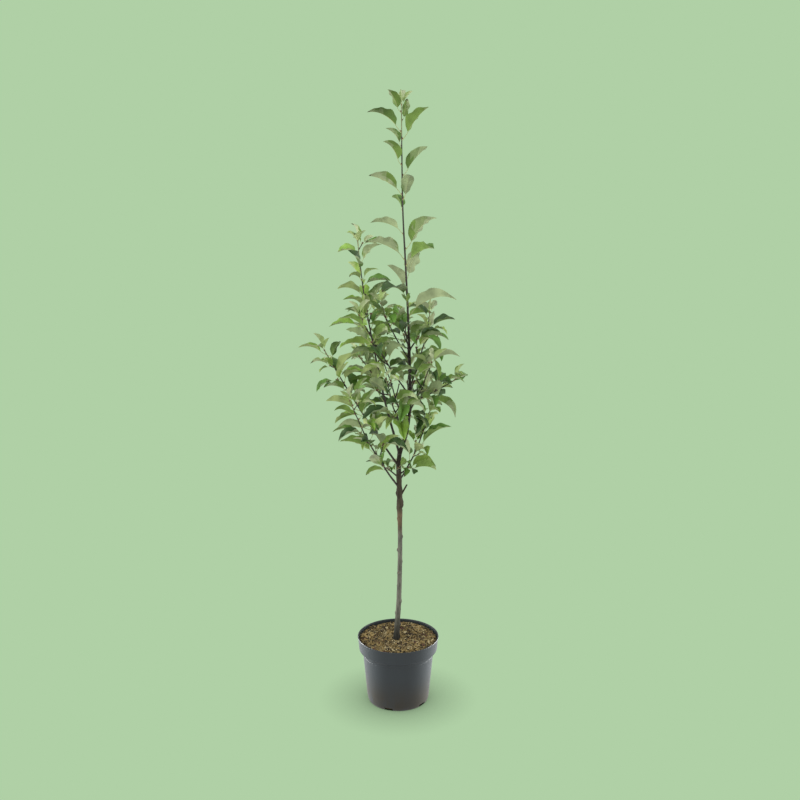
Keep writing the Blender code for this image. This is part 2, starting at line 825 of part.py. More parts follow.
def make_foliage(name, stem, twigs, leaves, green):
    """One solid: a three-sided stem with all of its twigs and leaves joined on."""
    foliage = make_object(name, tube(stem, STEM_SIDES), green)
    pieces = bpy.data.collections.new(name + "_pieces")
    shapes = [tube(twig, STEM_SIDES) for twig in twigs] + [leaf.shape() for leaf in leaves]
    for i, shape in enumerate(shapes):
        piece = make_object(f"{name}_{i}", shape)
        pieces.objects.link(piece)
        bpy.context.scene.collection.objects.unlink(piece)
    apply_boolean(foliage, "UNION", pieces)
    return foliage


def plan_crown():
    """Every limb and leaf of the tree, worked out before any mesh is made."""
    runs = {name: bough_limb(*row) for name, row in BOUGHS.items()}
    stems, bare = {}, {}
    for name, run in runs.items():
        split = BOUGH_BARE * run.length
        bare[name] = run.part(0.0, split)
        stems[name] = run.part(split + GAP, run.length)
    crown = Crown()
    crown.add_limb(trunk_limb(SOIL_LEVEL + GAP, LEADER_START), "trunk")
    leader = trunk_limb(LEADER_START + GAP, LEADER_TIP)
    crown.add_limb(leader, "leader")
    for name in runs:
        crown.add_limb(bare[name], name + "_bough")
        crown.add_limb(stems[name], name)
    spurs = {name: spur_limb(*row[:-1]) for name, row in SPURS.items()}
    for name, spur in spurs.items():
        crown.add_limb(spur.part(trunk_radius(SPURS[name][0]), spur.length), name)
    shoots = {"leader": (leader, [], leader_leaves(crown, leader))}
    for name, spur in spurs.items():
        shoots[name] = (spur, [], rosette(crown, name, spur, SPUR_LEAVES, random.Random(SPURS[name][-1])))
    for name, stem in stems.items():
        shoots[name] = (stem, *grow_shoot(crown, name, stem, BOUGHS[name][-1]))
    rng = random.Random(LOOSE_SEED)
    for name in (*SPURS, *BOUGHS):
        stem, twigs, leaves = shoots[name]
        shoots[name] = (stem, twigs, crown.loosen(name, leaves, rng))
    return bare, shoots


def build_tree(bark, twig_bark, green):
    trunk_run = make_trunk(bark)
    bare, shoots = plan_crown()
    make_foliage("foliage_leader", *shoots["leader"], green)
    for name in BOUGHS:
        bough = make_object("bough_" + name, tube(bare[name], BOUGH_SIDES), twig_bark)
        cut_clear_of_trunk(bough, trunk_run)
        make_foliage("foliage_" + name, *shoots[name], green)
    for name in SPURS:
        spur = make_foliage("spur_" + name, *shoots[name], green)
        cut_clear_of_trunk(spur, trunk_run)


def clear_scene():
    for obj in list(bpy.data.objects):
        bpy.data.objects.remove(obj)


def main():
    clear_scene()
    make_pot(material("pot_plastic", (0.052, 0.060, 0.068), 0.42))
    make_soil(material("potting_mix", (0.16, 0.105, 0.045), 0.95))
    build_tree(
        material("trunk_bark", (0.165, 0.125, 0.092), 0.8),
        material("twig_bark", (0.115, 0.078, 0.055), 0.65),
        material("leaf_green", (0.165, 0.265, 0.075), 0.5),
    )


if __name__ == "__main__":
    main()
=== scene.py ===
"""Looks of a young dwarf apple tree in a round nursery pot.

The pot, the potting mix with its chips, the bark of trunk and boughs, the shoots, the stalks and the leaves
are made here, each by an operator. The crown grows by the same rule as the solids in the frame, so each
leaf hangs where its solid hangs, and the rule is then carried on to finer twigs within the same reach.
Lengths are in metres and angles in degrees. Azimuth 0 is +X (right), 90 is +Y (back) and 180 is left.
"""

import functools
import json
import math
import random

import bpy
from bpy.props import FloatProperty, FloatVectorProperty, IntProperty, PointerProperty
from mathutils import Matrix, Vector, noise
from mathutils.bvhtree import BVHTree

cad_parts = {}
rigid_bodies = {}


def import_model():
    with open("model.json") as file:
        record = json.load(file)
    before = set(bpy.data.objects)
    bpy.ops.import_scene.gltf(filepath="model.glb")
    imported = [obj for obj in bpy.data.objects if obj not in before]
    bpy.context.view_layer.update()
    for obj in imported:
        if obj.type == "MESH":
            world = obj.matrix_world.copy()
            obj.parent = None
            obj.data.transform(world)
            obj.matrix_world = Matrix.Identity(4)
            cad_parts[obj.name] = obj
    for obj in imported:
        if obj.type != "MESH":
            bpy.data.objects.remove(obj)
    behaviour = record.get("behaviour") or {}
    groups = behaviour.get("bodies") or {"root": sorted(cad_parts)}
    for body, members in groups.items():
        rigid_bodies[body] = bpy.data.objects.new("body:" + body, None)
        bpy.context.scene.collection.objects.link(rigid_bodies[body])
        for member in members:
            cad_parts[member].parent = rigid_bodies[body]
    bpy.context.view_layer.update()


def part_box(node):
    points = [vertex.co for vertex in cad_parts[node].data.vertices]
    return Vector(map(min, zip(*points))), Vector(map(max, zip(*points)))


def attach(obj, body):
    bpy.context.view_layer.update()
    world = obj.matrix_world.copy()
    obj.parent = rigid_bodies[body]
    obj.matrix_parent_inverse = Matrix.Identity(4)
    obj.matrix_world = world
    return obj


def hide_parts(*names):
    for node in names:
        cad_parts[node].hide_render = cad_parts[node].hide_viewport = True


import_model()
POT_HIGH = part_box("pot")[1]

bl_info = {
    "name": "Potted dwarf fruit tree",
    "version": (1, 0, 0),
    "blender": (4, 5, 0),
    "location": "View3D > Sidebar > Fruit tree",
    "description": "Pot, potting mix, bark, shoots and leaves of a young dwarf apple tree",
    "category": "Add Mesh",
}

# Clearance that every solid of the frame keeps to its neighbours
GAP = 0.0003
UP = Vector((0, 0, 1))
FIRST_ACROSS = Vector((0.31, -0.95, 0.05))

# Pot: outer sizes, wall, the crease under the step, (height, radius) up its outside, the drain slots, and
# the angle in degrees above which its edges stay sharp
POT_HEIGHT = POT_HIGH.z
RIM_RADIUS = POT_HIGH.x
COLLAR_HEIGHT = 0.025
COLLAR_FOOT_RADIUS = 0.0722
STEP_HEIGHT = 0.005
BODY_TOP_RADIUS = 0.0655
BODY_FOOT_RADIUS = 0.0575
FOOT_HEIGHT = 0.008
BASE_RADIUS = 0.0548
LIP_DROP = 0.0018
LIP_OUT = 0.0007
POT_WALL = 0.0016
CREASE_DROP = 0.0042
CREASE_HALF = 0.0011
COLLAR_FOOT = POT_HEIGHT - COLLAR_HEIGHT
STEP_FOOT = COLLAR_FOOT - STEP_HEIGHT
LIP_FOOT = POT_HEIGHT - LIP_DROP
OUTER_WALL = (
    (0.0, BASE_RADIUS),
    (FOOT_HEIGHT, BODY_FOOT_RADIUS),
    (STEP_FOOT, BODY_TOP_RADIUS),
    (COLLAR_FOOT, COLLAR_FOOT_RADIUS),
    (LIP_FOOT, RIM_RADIUS - LIP_OUT),
    (POT_HEIGHT, RIM_RADIUS),
)
DRAIN_SLOTS = 5
DRAIN_TURN = 251
DRAIN_WIDTH = 0.017
DRAIN_HEIGHT = 0.0052
DRAIN_ROUNDING = 0.0016
POT_SHARP = 32

# Potting mix: its level, how far its crumbs lie under it, its rise to the back and its dip at the trunk
SOIL_LEVEL = 0.1185
CRUMB_DROP = 0.0008
SOIL_BANK = 0.0016
SOIL_DIP = 0.0014
SOIL_DIP_WIDTH = 0.010
SOIL_RINGS = 26
SOIL_SIDES = 120

# Chips of bark: their lengths by the mean, how steeply one may lie, their tones and the corners of one.
# Then the wood fibres: shortest and longest, radii, how steeply one may lie and how high on the chips.
CHIP_SIZES = (0.4, 0.5, 0.7, 0.9, 1.2, 1.9)
CHIP_TILT = 34
CHIP_TONES = ("golden", "brown", "dark", "red", "pale")
CHIP_CORNERS = ((-0.5, -0.3), (0.1, -0.5), (0.5, -0.1), (0.45, 0.35), (-0.2, 0.5), (-0.5, 0.2))
CHIP_SEED = 21
FIBRE_LENGTHS = (0.005, 0.013)
FIBRE_RADII = (0.00016, 0.00022, 0.00045)
FIBRE_TILT = 14
FIBRE_LIFT = 0.0016
FIBRE_SEED = 22

# Trunk and leader: (height, x, y) of the bends, and (height, radius) of the taper.
# The swelling at 0.385 is the graft, and the stem kinks to the right above the fork at 0.47.
TRUNK_BENDS = (
    (0.1185, -0.0030, 0.000),
    (0.200, 0.0016, 0.001),
    (0.300, 0.0036, -0.001),
    (0.400, 0.0026, 0.000),
    (0.470, 0.0020, 0.001),
    (0.510, 0.0140, 0.002),
    (0.550, 0.0203, 0.001),
    (0.640, 0.0205, 0.000),
    (0.720, 0.0176, 0.001),
    (0.800, 0.0137, 0.002),
    (0.900, 0.0085, 0.001),
    (1.000, 0.0066, 0.000),
    (1.080, 0.0060, 0.000),
)
TRUNK_TAPER = (
    (0.1185, 0.0064),
    (0.128, 0.0055),
    (0.160, 0.0047),
    (0.250, 0.0042),
    (0.345, 0.0040),
    (0.370, 0.0051),
    (0.392, 0.0054),
    (0.415, 0.0045),
    (0.455, 0.0048),
    (0.485, 0.0042),
    (0.540, 0.0033),
    (0.640, 0.0028),
    (0.720, 0.0024),
    (0.850, 0.0019),
    (1.000, 0.0015),
    (1.080, 0.0011),
)
TRUNK_STEP = 0.012
FLARE_LOBES = 4
FLARE_DEPTH = 0.16
FLARE_HEIGHT = 0.020
LEADER_START = 0.700
LEADER_TIP = 1.078

# Snag: the dead stub of a shoot that was pruned off above the graft. Rows of its visible shape are the
# share of its length and of its radius.
SNAG_HEIGHT = 0.394
SNAG_AZIMUTH = 12
SNAG_RISE = 58
SNAG_LENGTH = 0.026
SNAG_RADIUS = 0.0016
SNAG_ROWS = ((0, 1.5), (0.25, 1.25), (0.32, 1.15), (0.5, 1.0), (0.75, 0.95), (0.97, 0.80))
SNAG_SIDES = 12
SNAG_SEED = 5

# Boughs: height on the trunk, azimuth, length with its shoot, rise at foot and at tip, radius at the foot
# and seed
BOUGHS = {
    "left_low": (0.412, 212, 0.200, 52, 69, 0.0022, 58),
    "right_low": (0.424, 20, 0.140, 56, 76, 0.0019, 54),
    "left_wide": (0.452, 188, 0.250, 56, 62, 0.0023, 54),
    "left_tall": (0.474, 160, 0.385, 73, 84, 0.0026, 95),
    "back_low": (0.492, 82, 0.150, 44, 66, 0.0019, 30),
    "front_left": (0.506, 247, 0.150, 48, 64, 0.0019, 29),
    "back_left": (0.524, 122, 0.150, 46, 64, 0.0018, 94),
    "left_inner": (0.541, 172, 0.140, 48, 55, 0.0018, 90),
    "front_right": (0.556, 305, 0.115, 48, 68, 0.0017, 51),
    "right_mid": (0.570, 346, 0.092, 24, 36, 0.0017, 72),
    "left_mid": (0.581, 205, 0.178, 54, 62, 0.0018, 49),
    "right_tall": (0.598, 42, 0.135, 60, 80, 0.0017, 4),
    "back_high": (0.628, 98, 0.110, 48, 66, 0.0016, 46),
    "left_high": (0.647, 190, 0.112, 56, 72, 0.0016, 96),
}
BOUGH_STEP = 0.012
BOUGH_BARE = 0.24
BOUGH_WAVE = 0.0011
SHOOT_TIP_RADIUS = 0.0010

# Spurs: short shoots with a rosette of leaves, straight on the trunk: height, azimuth, length, rise, seed
SPURS = {
    "low_front": (0.437, 266, 0.024, 42, 31),
    "low_left": (0.431, 160, 0.022, 34, 32),
    "low_right": (0.436, 325, 0.024, 40, 33),
    "mid_front": (0.531, 285, 0.020, 50, 34),
    "mid_back": (0.588, 60, 0.020, 48, 35),
    "high_front": (0.614, 262, 0.024, 54, 36),
    "high_right": (0.664, 352, 0.026, 56, 37),
    "high_left": (0.684, 150, 0.022, 52, 38),
}
SPUR_RADIUS = 0.0015
SPUR_LEAVES = 5

# Leaves up the leader, from below: height of the foot, azimuth, blade length, rise from foot to tip
LEADER_LEAVES = (
    (0.706, 205, 0.042, -8),
    (0.722, 352, 0.074, 17),
    (0.740, 262, 0.036, 22),
    (0.750, 186, 0.068, 8),
    (0.765, 138, 0.046, 42),
    (0.785, 62, 0.050, 30),
    (0.810, 322, 0.064, 18),
    (0.820, 190, 0.062, 20),
    (0.838, 12, 0.062, 38),
    (0.864, 168, 0.049, 12),
    (0.900, 108, 0.042, 20),
    (0.922, 305, 0.046, 48),
    (0.930, 182, 0.054, 21),
    (0.962, 6, 0.052, 43),
    (0.980, 216, 0.046, 42),
    (1.010, 128, 0.034, 34),
    (1.022, 348, 0.057, 44),
    (1.034, 184, 0.055, 23),
    (1.052, 48, 0.032, 46),
    (1.066, 172, 0.037, 48),
)
LEADER_LEAF_ARCH = 46
LEADER_STALK_RISE = 52
LEADER_STALK_LIFT = 14
LEADER_SEED = 94

# Side twigs of the shoots: one for each stretch of shoot, short, with a rosette of small leaves. They start
# between two shares of the shoot's length and bend up a little.
TWIG_EVERY = 0.090
TWIG_FROM = 0.10
TWIG_TO = 0.66
TWIG_LENGTH = 0.026
TWIG_SPREAD = 44
TWIG_RADIUS = 0.0011
TWIG_LEAVES = 3
TWIG_LIFT = 0.25

# Leaves elsewhere: a spiral up each shoot. They turn their faces to the light, which came from behind.
INTERNODE = 0.0138
DIVERGENCE = 137.5
LIGHT = Vector((0.06, 0.42, 0.90)).normalized()
STALK_LENGTH = 0.27
STALK_RADIUS = 0.0005
STALK_LIFT = 0.25
LEAF_LENGTH_FOOT = 0.055
LEAF_LENGTH_TIP = 0.038
LEAF_WIDTH = 0.60
LEAF_THICKNESS = 0.014
LEAF_SPREAD = 52
LEAF_SWING = 0.40
LEAF_RISE = 24
LEAF_ARCH = 46
LEAF_FOLD = 36
LARGE_LEAF = 0.042
LARGE_STATIONS = (0.13, 0.43, 0.76)
SMALL_STATIONS = (0.22, 0.64)
TIP_LEAVES = 3
TIP_DIVERGENCE = 128
YOUNG_SPREAD = 30
YOUNG_ARCH = 42
YOUNG_FOLD = 42
ROSETTE_SPREAD = 62
ROSETTE_CLOSING = 7
TRIES = 9
TRY_TURN = 26
SPACE_RADIUS = 0.095

# At last each blade is turned at its stalk's end: the largest angles about its side, its face and its rib
LOOSE_RISE = 28
LOOSE_SWING = 16
LOOSE_ROLL = 40
LOOSE_TRIES = 4
LOOSE_SEED = 4

# Finer twigs than the solids have: one for each stretch of shoot, with a few small leaves
FINE_EVERY = 0.055
FINE_LENGTH = 0.011
FINE_RADIUS = 0.0008
FINE_LEAVES = 3
FINE_LEAF = 0.024
FINE_SEED = 500
REACH_PLAY = 0.001

# Kinds of leaf: seed, gloss above and down below. Then, by spray, the chance of each kind but the last.
# Leaves under YOUNG_LEAF are all young.
KIND_LOOKS = {
    "mature": (41, 0.45, 0.10),
    "deep": (42, 0.50, 0.08),
    "fresh": (43, 0.45, 0.08),
    "young": (44, 0.35, 0.25),
}
KINDS = tuple(KIND_LOOKS)
SPRAY_KINDS = {
    "leader": (0.76, 0.24, 0.00),
    "left_wide": (0.30, 0.15, 0.55),
    "left_tall": (0.40, 0.10, 0.50),
    "right_low": (0.20, 0.05, 0.75),
    "front_left": (0.45, 0.50, 0.05),
    "left_inner": (0.45, 0.45, 0.10),
}
OTHER_KINDS = (0.58, 0.27, 0.15)
YOUNG_LEAF = 0.031
KIND_SEED = 77

# Bumps of old buds up the trunk: the first's height and azimuth, the last height, and the turn from each to
# the next. They are smaller above BUMPS_FADE. Each bare bough has its own, a stretch apart.
BUMPS_FROM = 0.148
BUMPS_FIRST = 10
BUMPS_TO = 0.69
BUMPS_TURN = 154
BUMPS_FADE = 0.42
BUMPS_SEED = 8
BUMP_WIDTH = 0.0030
BOUGH_BUMP_EVERY = 0.011
BOUGH_BUMP_SEED = 31

# Graft: height, spread, and its knobs by height, azimuth and relief
GRAFT_HEIGHT = 0.386
GRAFT_SPREAD = 0.020
KNOB_WIDTH = 0.0048
GRAFT_KNOBS = (
    (0.402, 186, 0.0019),
    (0.391, 268, 0.0013),
    (0.384, -8, 0.0022),
    (0.374, 170, 0.0012),
    (0.408, 20, 0.0012),
    (0.396, 95, 0.0014),
)

# Relief and spread of the swellings on the trunk under its boughs, of the collar at the foot of each bough,
# spur, shoot and twig, and of the swelling under each leaf
UNDER_BOUGH = (0.0005, 0.0045)
BOUGH_COLLAR = 0.0024
SPUR_COLLAR = 0.0016
SHOOT_COLLAR = 0.00035
TWIG_COLLAR = 0.0006
COLLAR_SPREAD = 0.0035
LEAF_SWELLING = 0.00055
LEAF_SWELLING_SPREAD = 0.0020

# How much slimmer in radius the visible wood is than its solid. The trunk slims from a height on.
SLIM_FROM = 0.43
SLIM_OVER = 0.04
BOUGH_SLIM = 0.0003
LEADER_SLIM = 0.0004
SHOOT_SLIM = 0.0002

# Visible wood: faces round it, the step of its rings, and the share of a shoot from which it is green
BOUGH_SIDES, BOUGH_RING = 14, 0.0022
SHOOT_SIDES, SHOOT_RING = 12, 0.0026
TWIG_SIDES, TWIG_RING = 8, 0.0020
GREEN_FROM = 0.86

# Radii along a full leaf's stalk. Buds: (share of length, radius by length), and the length of those beside
# leaves, at tips and up the trunk.
STALK_RADII = (0.00105, 0.00085, 0.00062, 0.00055, 0.00052, 0.00052, 0.00052, 0.00045)
BUD_ROWS = ((-0.15, 0.20), (0.15, 0.36), (0.45, 0.38), (0.75, 0.22), (1.0, 0.04))
LEAF_BUD = 0.0030
TIP_BUD = 0.0036
TRUNK_BUD = 0.0026

# Stage: faces round the backdrop and up its bend, how light the painted shade under the pot is, and the
# lamps on the whole tree and on the pot alone, by place, target, width, height and power
BLACK = (0.0, 0.0, 0.0)
BACKDROP_SIDES = 160
BEND_ROWS = 20
PAINTED_SHADE_UNDER_POT = 0.01
TREE_MIDDLE = (0.0, 0.0, 0.62)
POT_MIDDLE = (0.0, 0.0, 0.062)
TREE_LAMPS = {
    "key": ((-1.5, -1.6, 2.3), TREE_MIDDLE, 1.4, 1.4, 26),
    "left_side": ((-1.9, 0.4, 0.9), TREE_MIDDLE, 0.6, 1.6, 16),
    "right_side": ((1.9, 0.4, 0.9), TREE_MIDDLE, 0.6, 1.6, 16),
}
POT_LAMPS = {
    "pot_left": ((-1.7, 0.9, 0.062), POT_MIDDLE, 1.1, 0.11, 95),
    "pot_right": ((1.7, 0.9, 0.062), POT_MIDDLE, 1.1, 0.11, 100),
}


# Curves through named rows


def on_curve(rows, at):
    """Values at `at` on a smooth curve through rows of (station, value, ...)."""
    last = len(rows) - 1
    i = max(k for k in range(last) if k == 0 or rows[k][0] <= at)
    share = min(1.0, max(0.0, (at - rows[i][0]) / (rows[i + 1][0] - rows[i][0])))
    values = []
    for column in range(1, len(rows[0])):
        before, a, b, after = (rows[min(last, max(0, i + k))][column] for k in (-1, 0, 1, 2))
        bend = (b - before) * 0.5, (after - a) * 0.5
        s2, s3 = share * share, share * share * share
        values.append(
            a * (2 * s3 - 3 * s2 + 1)
            + b * (3 * s2 - 2 * s3)
            + bend[0] * (s3 - 2 * s2 + share)
            + bend[1] * (s3 - s2)
        )
    return values


def between(rows, at):
    """Value at `at` on straight lines through rows of (station, value)."""
    for (a, u), (b, v) in zip(rows, rows[1:]):
        if at <= b:
            return u + (v - u) * max(0.0, at - a) / (b - a)
    return rows[-1][1]


def bell(distance, width):
    """A smooth hump: 1 at no distance, and nearly 0 two widths away."""
    return math.exp(-((distance / width) ** 2))


def trunk_point(height):
    x, y = on_curve(TRUNK_BENDS, height)
    return Vector((x, y, height))


def trunk_radius(height):
    return between(TRUNK_TAPER, height)


def heading(azimuth, rise):
    """Unit vector with that compass direction and that rise above level."""
    a, r = math.radians(azimuth), math.radians(rise)
    return Vector((math.cos(a) * math.cos(r), math.sin(a) * math.cos(r), math.sin(r)))


# Limbs


class Limb:
    """A tapering stem: points along its middle, and the radius at each."""

    def __init__(self, points, radii):
        self.points = points
        self.radii = radii
        self.stations = [0.0]
        for a, b in zip(points, points[1:]):
            self.stations.append(self.stations[-1] + (b - a).length)
        self.length = self.stations[-1]

    def at(self, distance):
        """Middle point, direction and radius at that distance from the foot."""
        i = max(k for k in range(len(self.points) - 1) if k == 0 or self.stations[k] <= distance)
        a, b = self.points[i], self.points[i + 1]
        share = (distance - self.stations[i]) / (self.stations[i + 1] - self.stations[i])
        radius = self.radii[i] + (self.radii[i + 1] - self.radii[i]) * share
        return a.lerp(b, share), (b - a).normalized(), radius

    def part(self, start, end):
        """The stretch of this limb between two distances from its foot."""
        inner = [s for s in self.stations if start + 0.002 < s < end - 0.002]
        found = [self.at(s) for s in (start, *inner, end)]
        return Limb([f[0] for f in found], [f[2] for f in found])

    def smooth(self, step):
        """The same stem with a point at every step, on a smooth curve through its points."""
        rows = [(s, *p, r) for s, p, r in zip(self.stations, self.points, self.radii)]
        count = max(2, round(self.length / step))
        found = [on_curve(rows, self.length * i / count) for i in range(count + 1)]
        return Limb([Vector(f[:3]) for f in found], [f[3] for f in found])


def trunk_limb(bottom, top):
    count = round((top - bottom) / TRUNK_STEP)
    heights = [bottom + (top - bottom) * i / count for i in range(count + 1)]
    return Limb([trunk_point(z) for z in heights], [trunk_radius(z) for z in heights])


def bough_limb(height, azimuth, length, rise_foot, rise_tip, foot_radius, seed):
    """A side bough with its shoot, from the trunk's middle out, with a slight wave in its run."""
    start = trunk_point(height)
    count = round(length / BOUGH_STEP)
    step = length / count
    phase = random.Random(seed).uniform(0, math.tau)
    side = heading(azimuth + 90, 0)
    middle = start.copy()
    points, radii = [], []
    for i in range(count + 1):
        share = i / count
        wave = BOUGH_WAVE * min(1.0, 4 * share) * math.sin(phase + share * 4 * math.pi)
        points.append(middle + side * wave)
        radii.append(foot_radius + (SHOOT_TIP_RADIUS - foot_radius) * share**0.8)
        middle = middle + heading(azimuth, rise_foot + (rise_tip - rise_foot) * share) * step
    return Limb(points, radii)


def spur_limb(height, azimuth, length, rise):
    start = trunk_point(height)
    reach = length + trunk_radius(height)
    points = [start + heading(azimuth, rise) * reach * share for share in (0, 0.5, 1)]
    return Limb(points, [SPUR_RADIUS, SPUR_RADIUS, SHOOT_TIP_RADIUS])


def tube(limb, sides, swell=0.0, relief=None):
    """Points and faces of a capped tube round a limb. `relief(way out, middle)` adds to the radius."""
    points, faces = [], []
    last = len(limb.points) - 1
    across = FIRST_ACROSS
    for i, (middle, radius) in enumerate(zip(limb.points, limb.radii)):
        run = (limb.points[min(last, i + 1)] - limb.points[max(0, i - 1)]).normalized()
        across = (across - run * across.dot(run)).normalized()
        over = run.cross(across)
        for k in range(sides):
            angle = math.tau * k / sides
            out = math.cos(angle) * across + math.sin(angle) * over
            size = radius + swell + (relief(out, middle) if relief else 0.0)
            points.append(middle + size * out)
    for i in range(last):
        for k in range(sides):
            a, b = i * sides + k, i * sides + (k + 1) % sides
            faces.append((a, b, b + sides, a + sides))
    faces.append(tuple(range(sides - 1, -1, -1)))
    faces.append(tuple(last * sides + k for k in range(sides)))
    return points, faces


# The rule that grows the crown


class Leaf:
    """A stalk and a blade. The blade arches down along its rib and folds up to its edges."""

    def __init__(self, foot, base, along, up, length, arch, fold):
        self.foot = foot
        self.base = base
        self.along = along
        self.up = up
        self.length = length
        self.arch = math.radians(arch)
        self.fold = math.radians(fold)
        self.side = along.cross(up)

    def rib(self, t):
        turn = self.arch * t
        forward, down = math.sin(turn) / self.arch, (1 - math.cos(turn)) / self.arch
        return self.base + self.length * (forward * self.along - down * self.up)

    def up_at(self, t):
        turn = self.arch * t
        return math.sin(turn) * self.along + math.cos(turn) * self.up

    def half_width(self, t):
        return 0.5 * LEAF_WIDTH * self.length * math.sin(math.pi * t**0.8) ** 0.75

    def edge(self, t, hand):
        """Point on the blade's left (-1) or right (1) edge."""
        out = hand * math.cos(self.fold) * self.side + math.sin(self.fold) * self.up_at(t)
        return self.rib(t) + self.half_width(t) * out

    def turned(self, rise, swing, roll):
        """The same stalk with its blade turned about its three axes."""
        turn = (
            Matrix.Rotation(math.radians(rise), 3, self.side)
            @ Matrix.Rotation(math.radians(swing), 3, self.up)
            @ Matrix.Rotation(math.radians(roll), 3, self.along)
        )
        bends = math.degrees(self.arch), math.degrees(self.fold)
        return Leaf(self.foot, self.base, turn @ self.along, turn @ self.up, self.length, *bends)

    def rings(self):
        """Four-cornered sections of stalk and blade, from the foot to the last before the tip."""
        run = (self.base - self.foot).normalized()
        side = (self.side - run * self.side.dot(run)).normalized()
        lift = side.cross(run)
        foot_radius = STALK_RADIUS * 1.15
        rings = [
            [self.foot + foot_radius * v for v in (-side, lift, side, -lift)],
            [self.base + STALK_RADIUS * v for v in (-self.side, self.up, self.side, -self.up)],
        ]
        half_thick = 0.5 * LEAF_THICKNESS * self.length
        stations = LARGE_STATIONS if self.length > LARGE_LEAF else SMALL_STATIONS
        for t in stations:
            rib, up = self.rib(t), self.up_at(t)
            rings.append([self.edge(t, -1), rib + up * half_thick, self.edge(t, 1), rib - up * half_thick])
        return rings

    def shape(self, first_ring=0):
        """Points and faces of the leaf as one closed solid, or of its blade alone from a later ring."""
        rings = self.rings()[first_ring:]
        points = [p for ring in rings for p in ring] + [self.rib(1.0)]
        faces = [(3, 2, 1, 0)]
        for i in range(len(rings) - 1):
            for k in range(4):
                a, b = 4 * i + k, 4 * i + (k + 1) % 4
                faces.append((a, b, b + 4, a + 4))
        last = 4 * (len(rings) - 1)
        faces += [(last + k, last + (k + 1) % 4, len(points) - 1) for k in range(4)]
        return points, faces


def make_leaf(stem, distance, azimuth, length, spread, arch, fold, roll):
    """A leaf that leaves the stem at that distance, azimuth and spread, and swings out to the level."""
    foot, run, radius = stem.at(distance)
    flat = heading(azimuth, 0)
    out = flat - run * flat.dot(run)
    if out.length < 0.2:
        out = run.cross(UP.cross(run))
    angle = math.radians(spread)
    stalk = math.cos(angle) * run + math.sin(angle) * out.normalized()
    along = stalk.lerp(heading(azimuth, LEAF_RISE + 0.5 * arch), LEAF_SWING)
    return hang_leaf(foot, radius, stalk + STALK_LIFT * UP, along, length, arch, fold, roll)


def make_leader_leaf(stem, height, azimuth, length, rise, arch, fold, roll):
    """A leaf on the upright leader, by its height and the rise from its foot to its tip."""
    low, high = stem.points[0].z, stem.points[-1].z
    foot, _, radius = stem.at((height - low) / (high - low) * stem.length)
    lift = rise + 0.5 * arch
    stalk = heading(azimuth, min(LEADER_STALK_RISE, lift + LEADER_STALK_LIFT))
    return hang_leaf(foot, radius, stalk, heading(azimuth, lift), length, arch, fold, roll)


def hang_leaf(foot, radius, stalk, along, length, arch, fold, roll):
    """Stalk out of the stem's middle, then the blade, its face turned to the light and rolled a little."""
    base = foot + stalk.normalized() * (STALK_LENGTH * length + radius)
    along = along.normalized()
    up = LIGHT - along * LIGHT.dot(along)
    if up.length < 0.25:
        up = up + 0.5 * along.cross(Vector((1, 0, 0)))
    up.normalize()
    tilt = math.radians(roll)
    up = math.cos(tilt) * up + math.sin(tilt) * along.cross(up)
    return Leaf(foot, base, along, up, length, arch, fold)


class Crown:
    """All limbs and leaves so far, so that a new leaf can keep clear of them."""

    def __init__(self):
        self.limbs = []
        self.leaves = []

    def add_limb(self, limb, owner):
        points, faces = tube(limb, 5, 2 * GAP)
        self.limbs.append((BVHTree.FromPolygons(points, faces), owner, limb))

    def nearest_owner(self, point):
        """The owner of the shoot or limb that passes nearest to a point."""
        return min((tree.find_nearest(point)[3], owner) for tree, owner, _ in self.limbs)[1]

    def clear(self, leaf, owner, instead_of=None):
        """Whether the leaf stays in its own shoot's space and touches no limb or other leaf."""
        if (leaf.rib(1.0) - leaf.foot).length > SPACE_RADIUS:
            return False
        if self.nearest_owner(leaf.rib(0.5)) != owner:
            return False
        blade = BVHTree.FromPolygons(*swollen(leaf.shape(1)))
        whole = BVHTree.FromPolygons(*swollen(leaf.shape()))
        for tree, other, _ in self.limbs:
            if (blade if other == owner else whole).overlap(tree):
                return False
        middle = leaf.rib(0.4)
        for tree, other, centre, there in self.leaves:
            near = there is not instead_of and (centre - middle).length < 2 * SPACE_RADIUS
            if near and (blade if other == owner else whole).overlap(tree):
                return False
        return True

    def room_for(self, limb, owner):
        """Whether a new twig touches no other shoot's limb."""
        tree = BVHTree.FromPolygons(*tube(limb, 5, 2 * GAP))
        return not any(tree.overlap(there) for there, other, _ in self.limbs if other != owner)

    def add_leaf(self, leaf, owner):
        self.leaves.append((BVHTree.FromPolygons(*leaf.shape()), owner, leaf.rib(0.4), leaf))

    def loosen(self, owner, leaves, rng):
        """Turns each blade by seeded angles, where it stays clear, so that no two hang alike."""
        found = []
        for leaf in leaves:
            for _ in range(LOOSE_TRIES):
                angles = [rng.uniform(-most, most) for most in (LOOSE_RISE, LOOSE_SWING, LOOSE_ROLL)]
                turned = leaf.turned(*angles)
                if self.clear(turned, owner, instead_of=leaf):
                    self.leaves = [entry for entry in self.leaves if entry[-1] is not leaf]
                    self.add_leaf(turned, owner)
                    leaf = turned
                    break
            found.append(leaf)
        return found


def swollen(shape):
    """The shape with each four-cornered section pushed out by the clearance."""
    points, faces = shape
    grown = list(points)
    for i in range(0, len(points) - 1, 4):
        ring = points[i : i + 4]
        middle = sum(ring, Vector()) / 4
        for k, p in enumerate(ring):
            away = p - middle
            grown[i + k] = p + away.normalized() * 2 * GAP
    return grown, faces


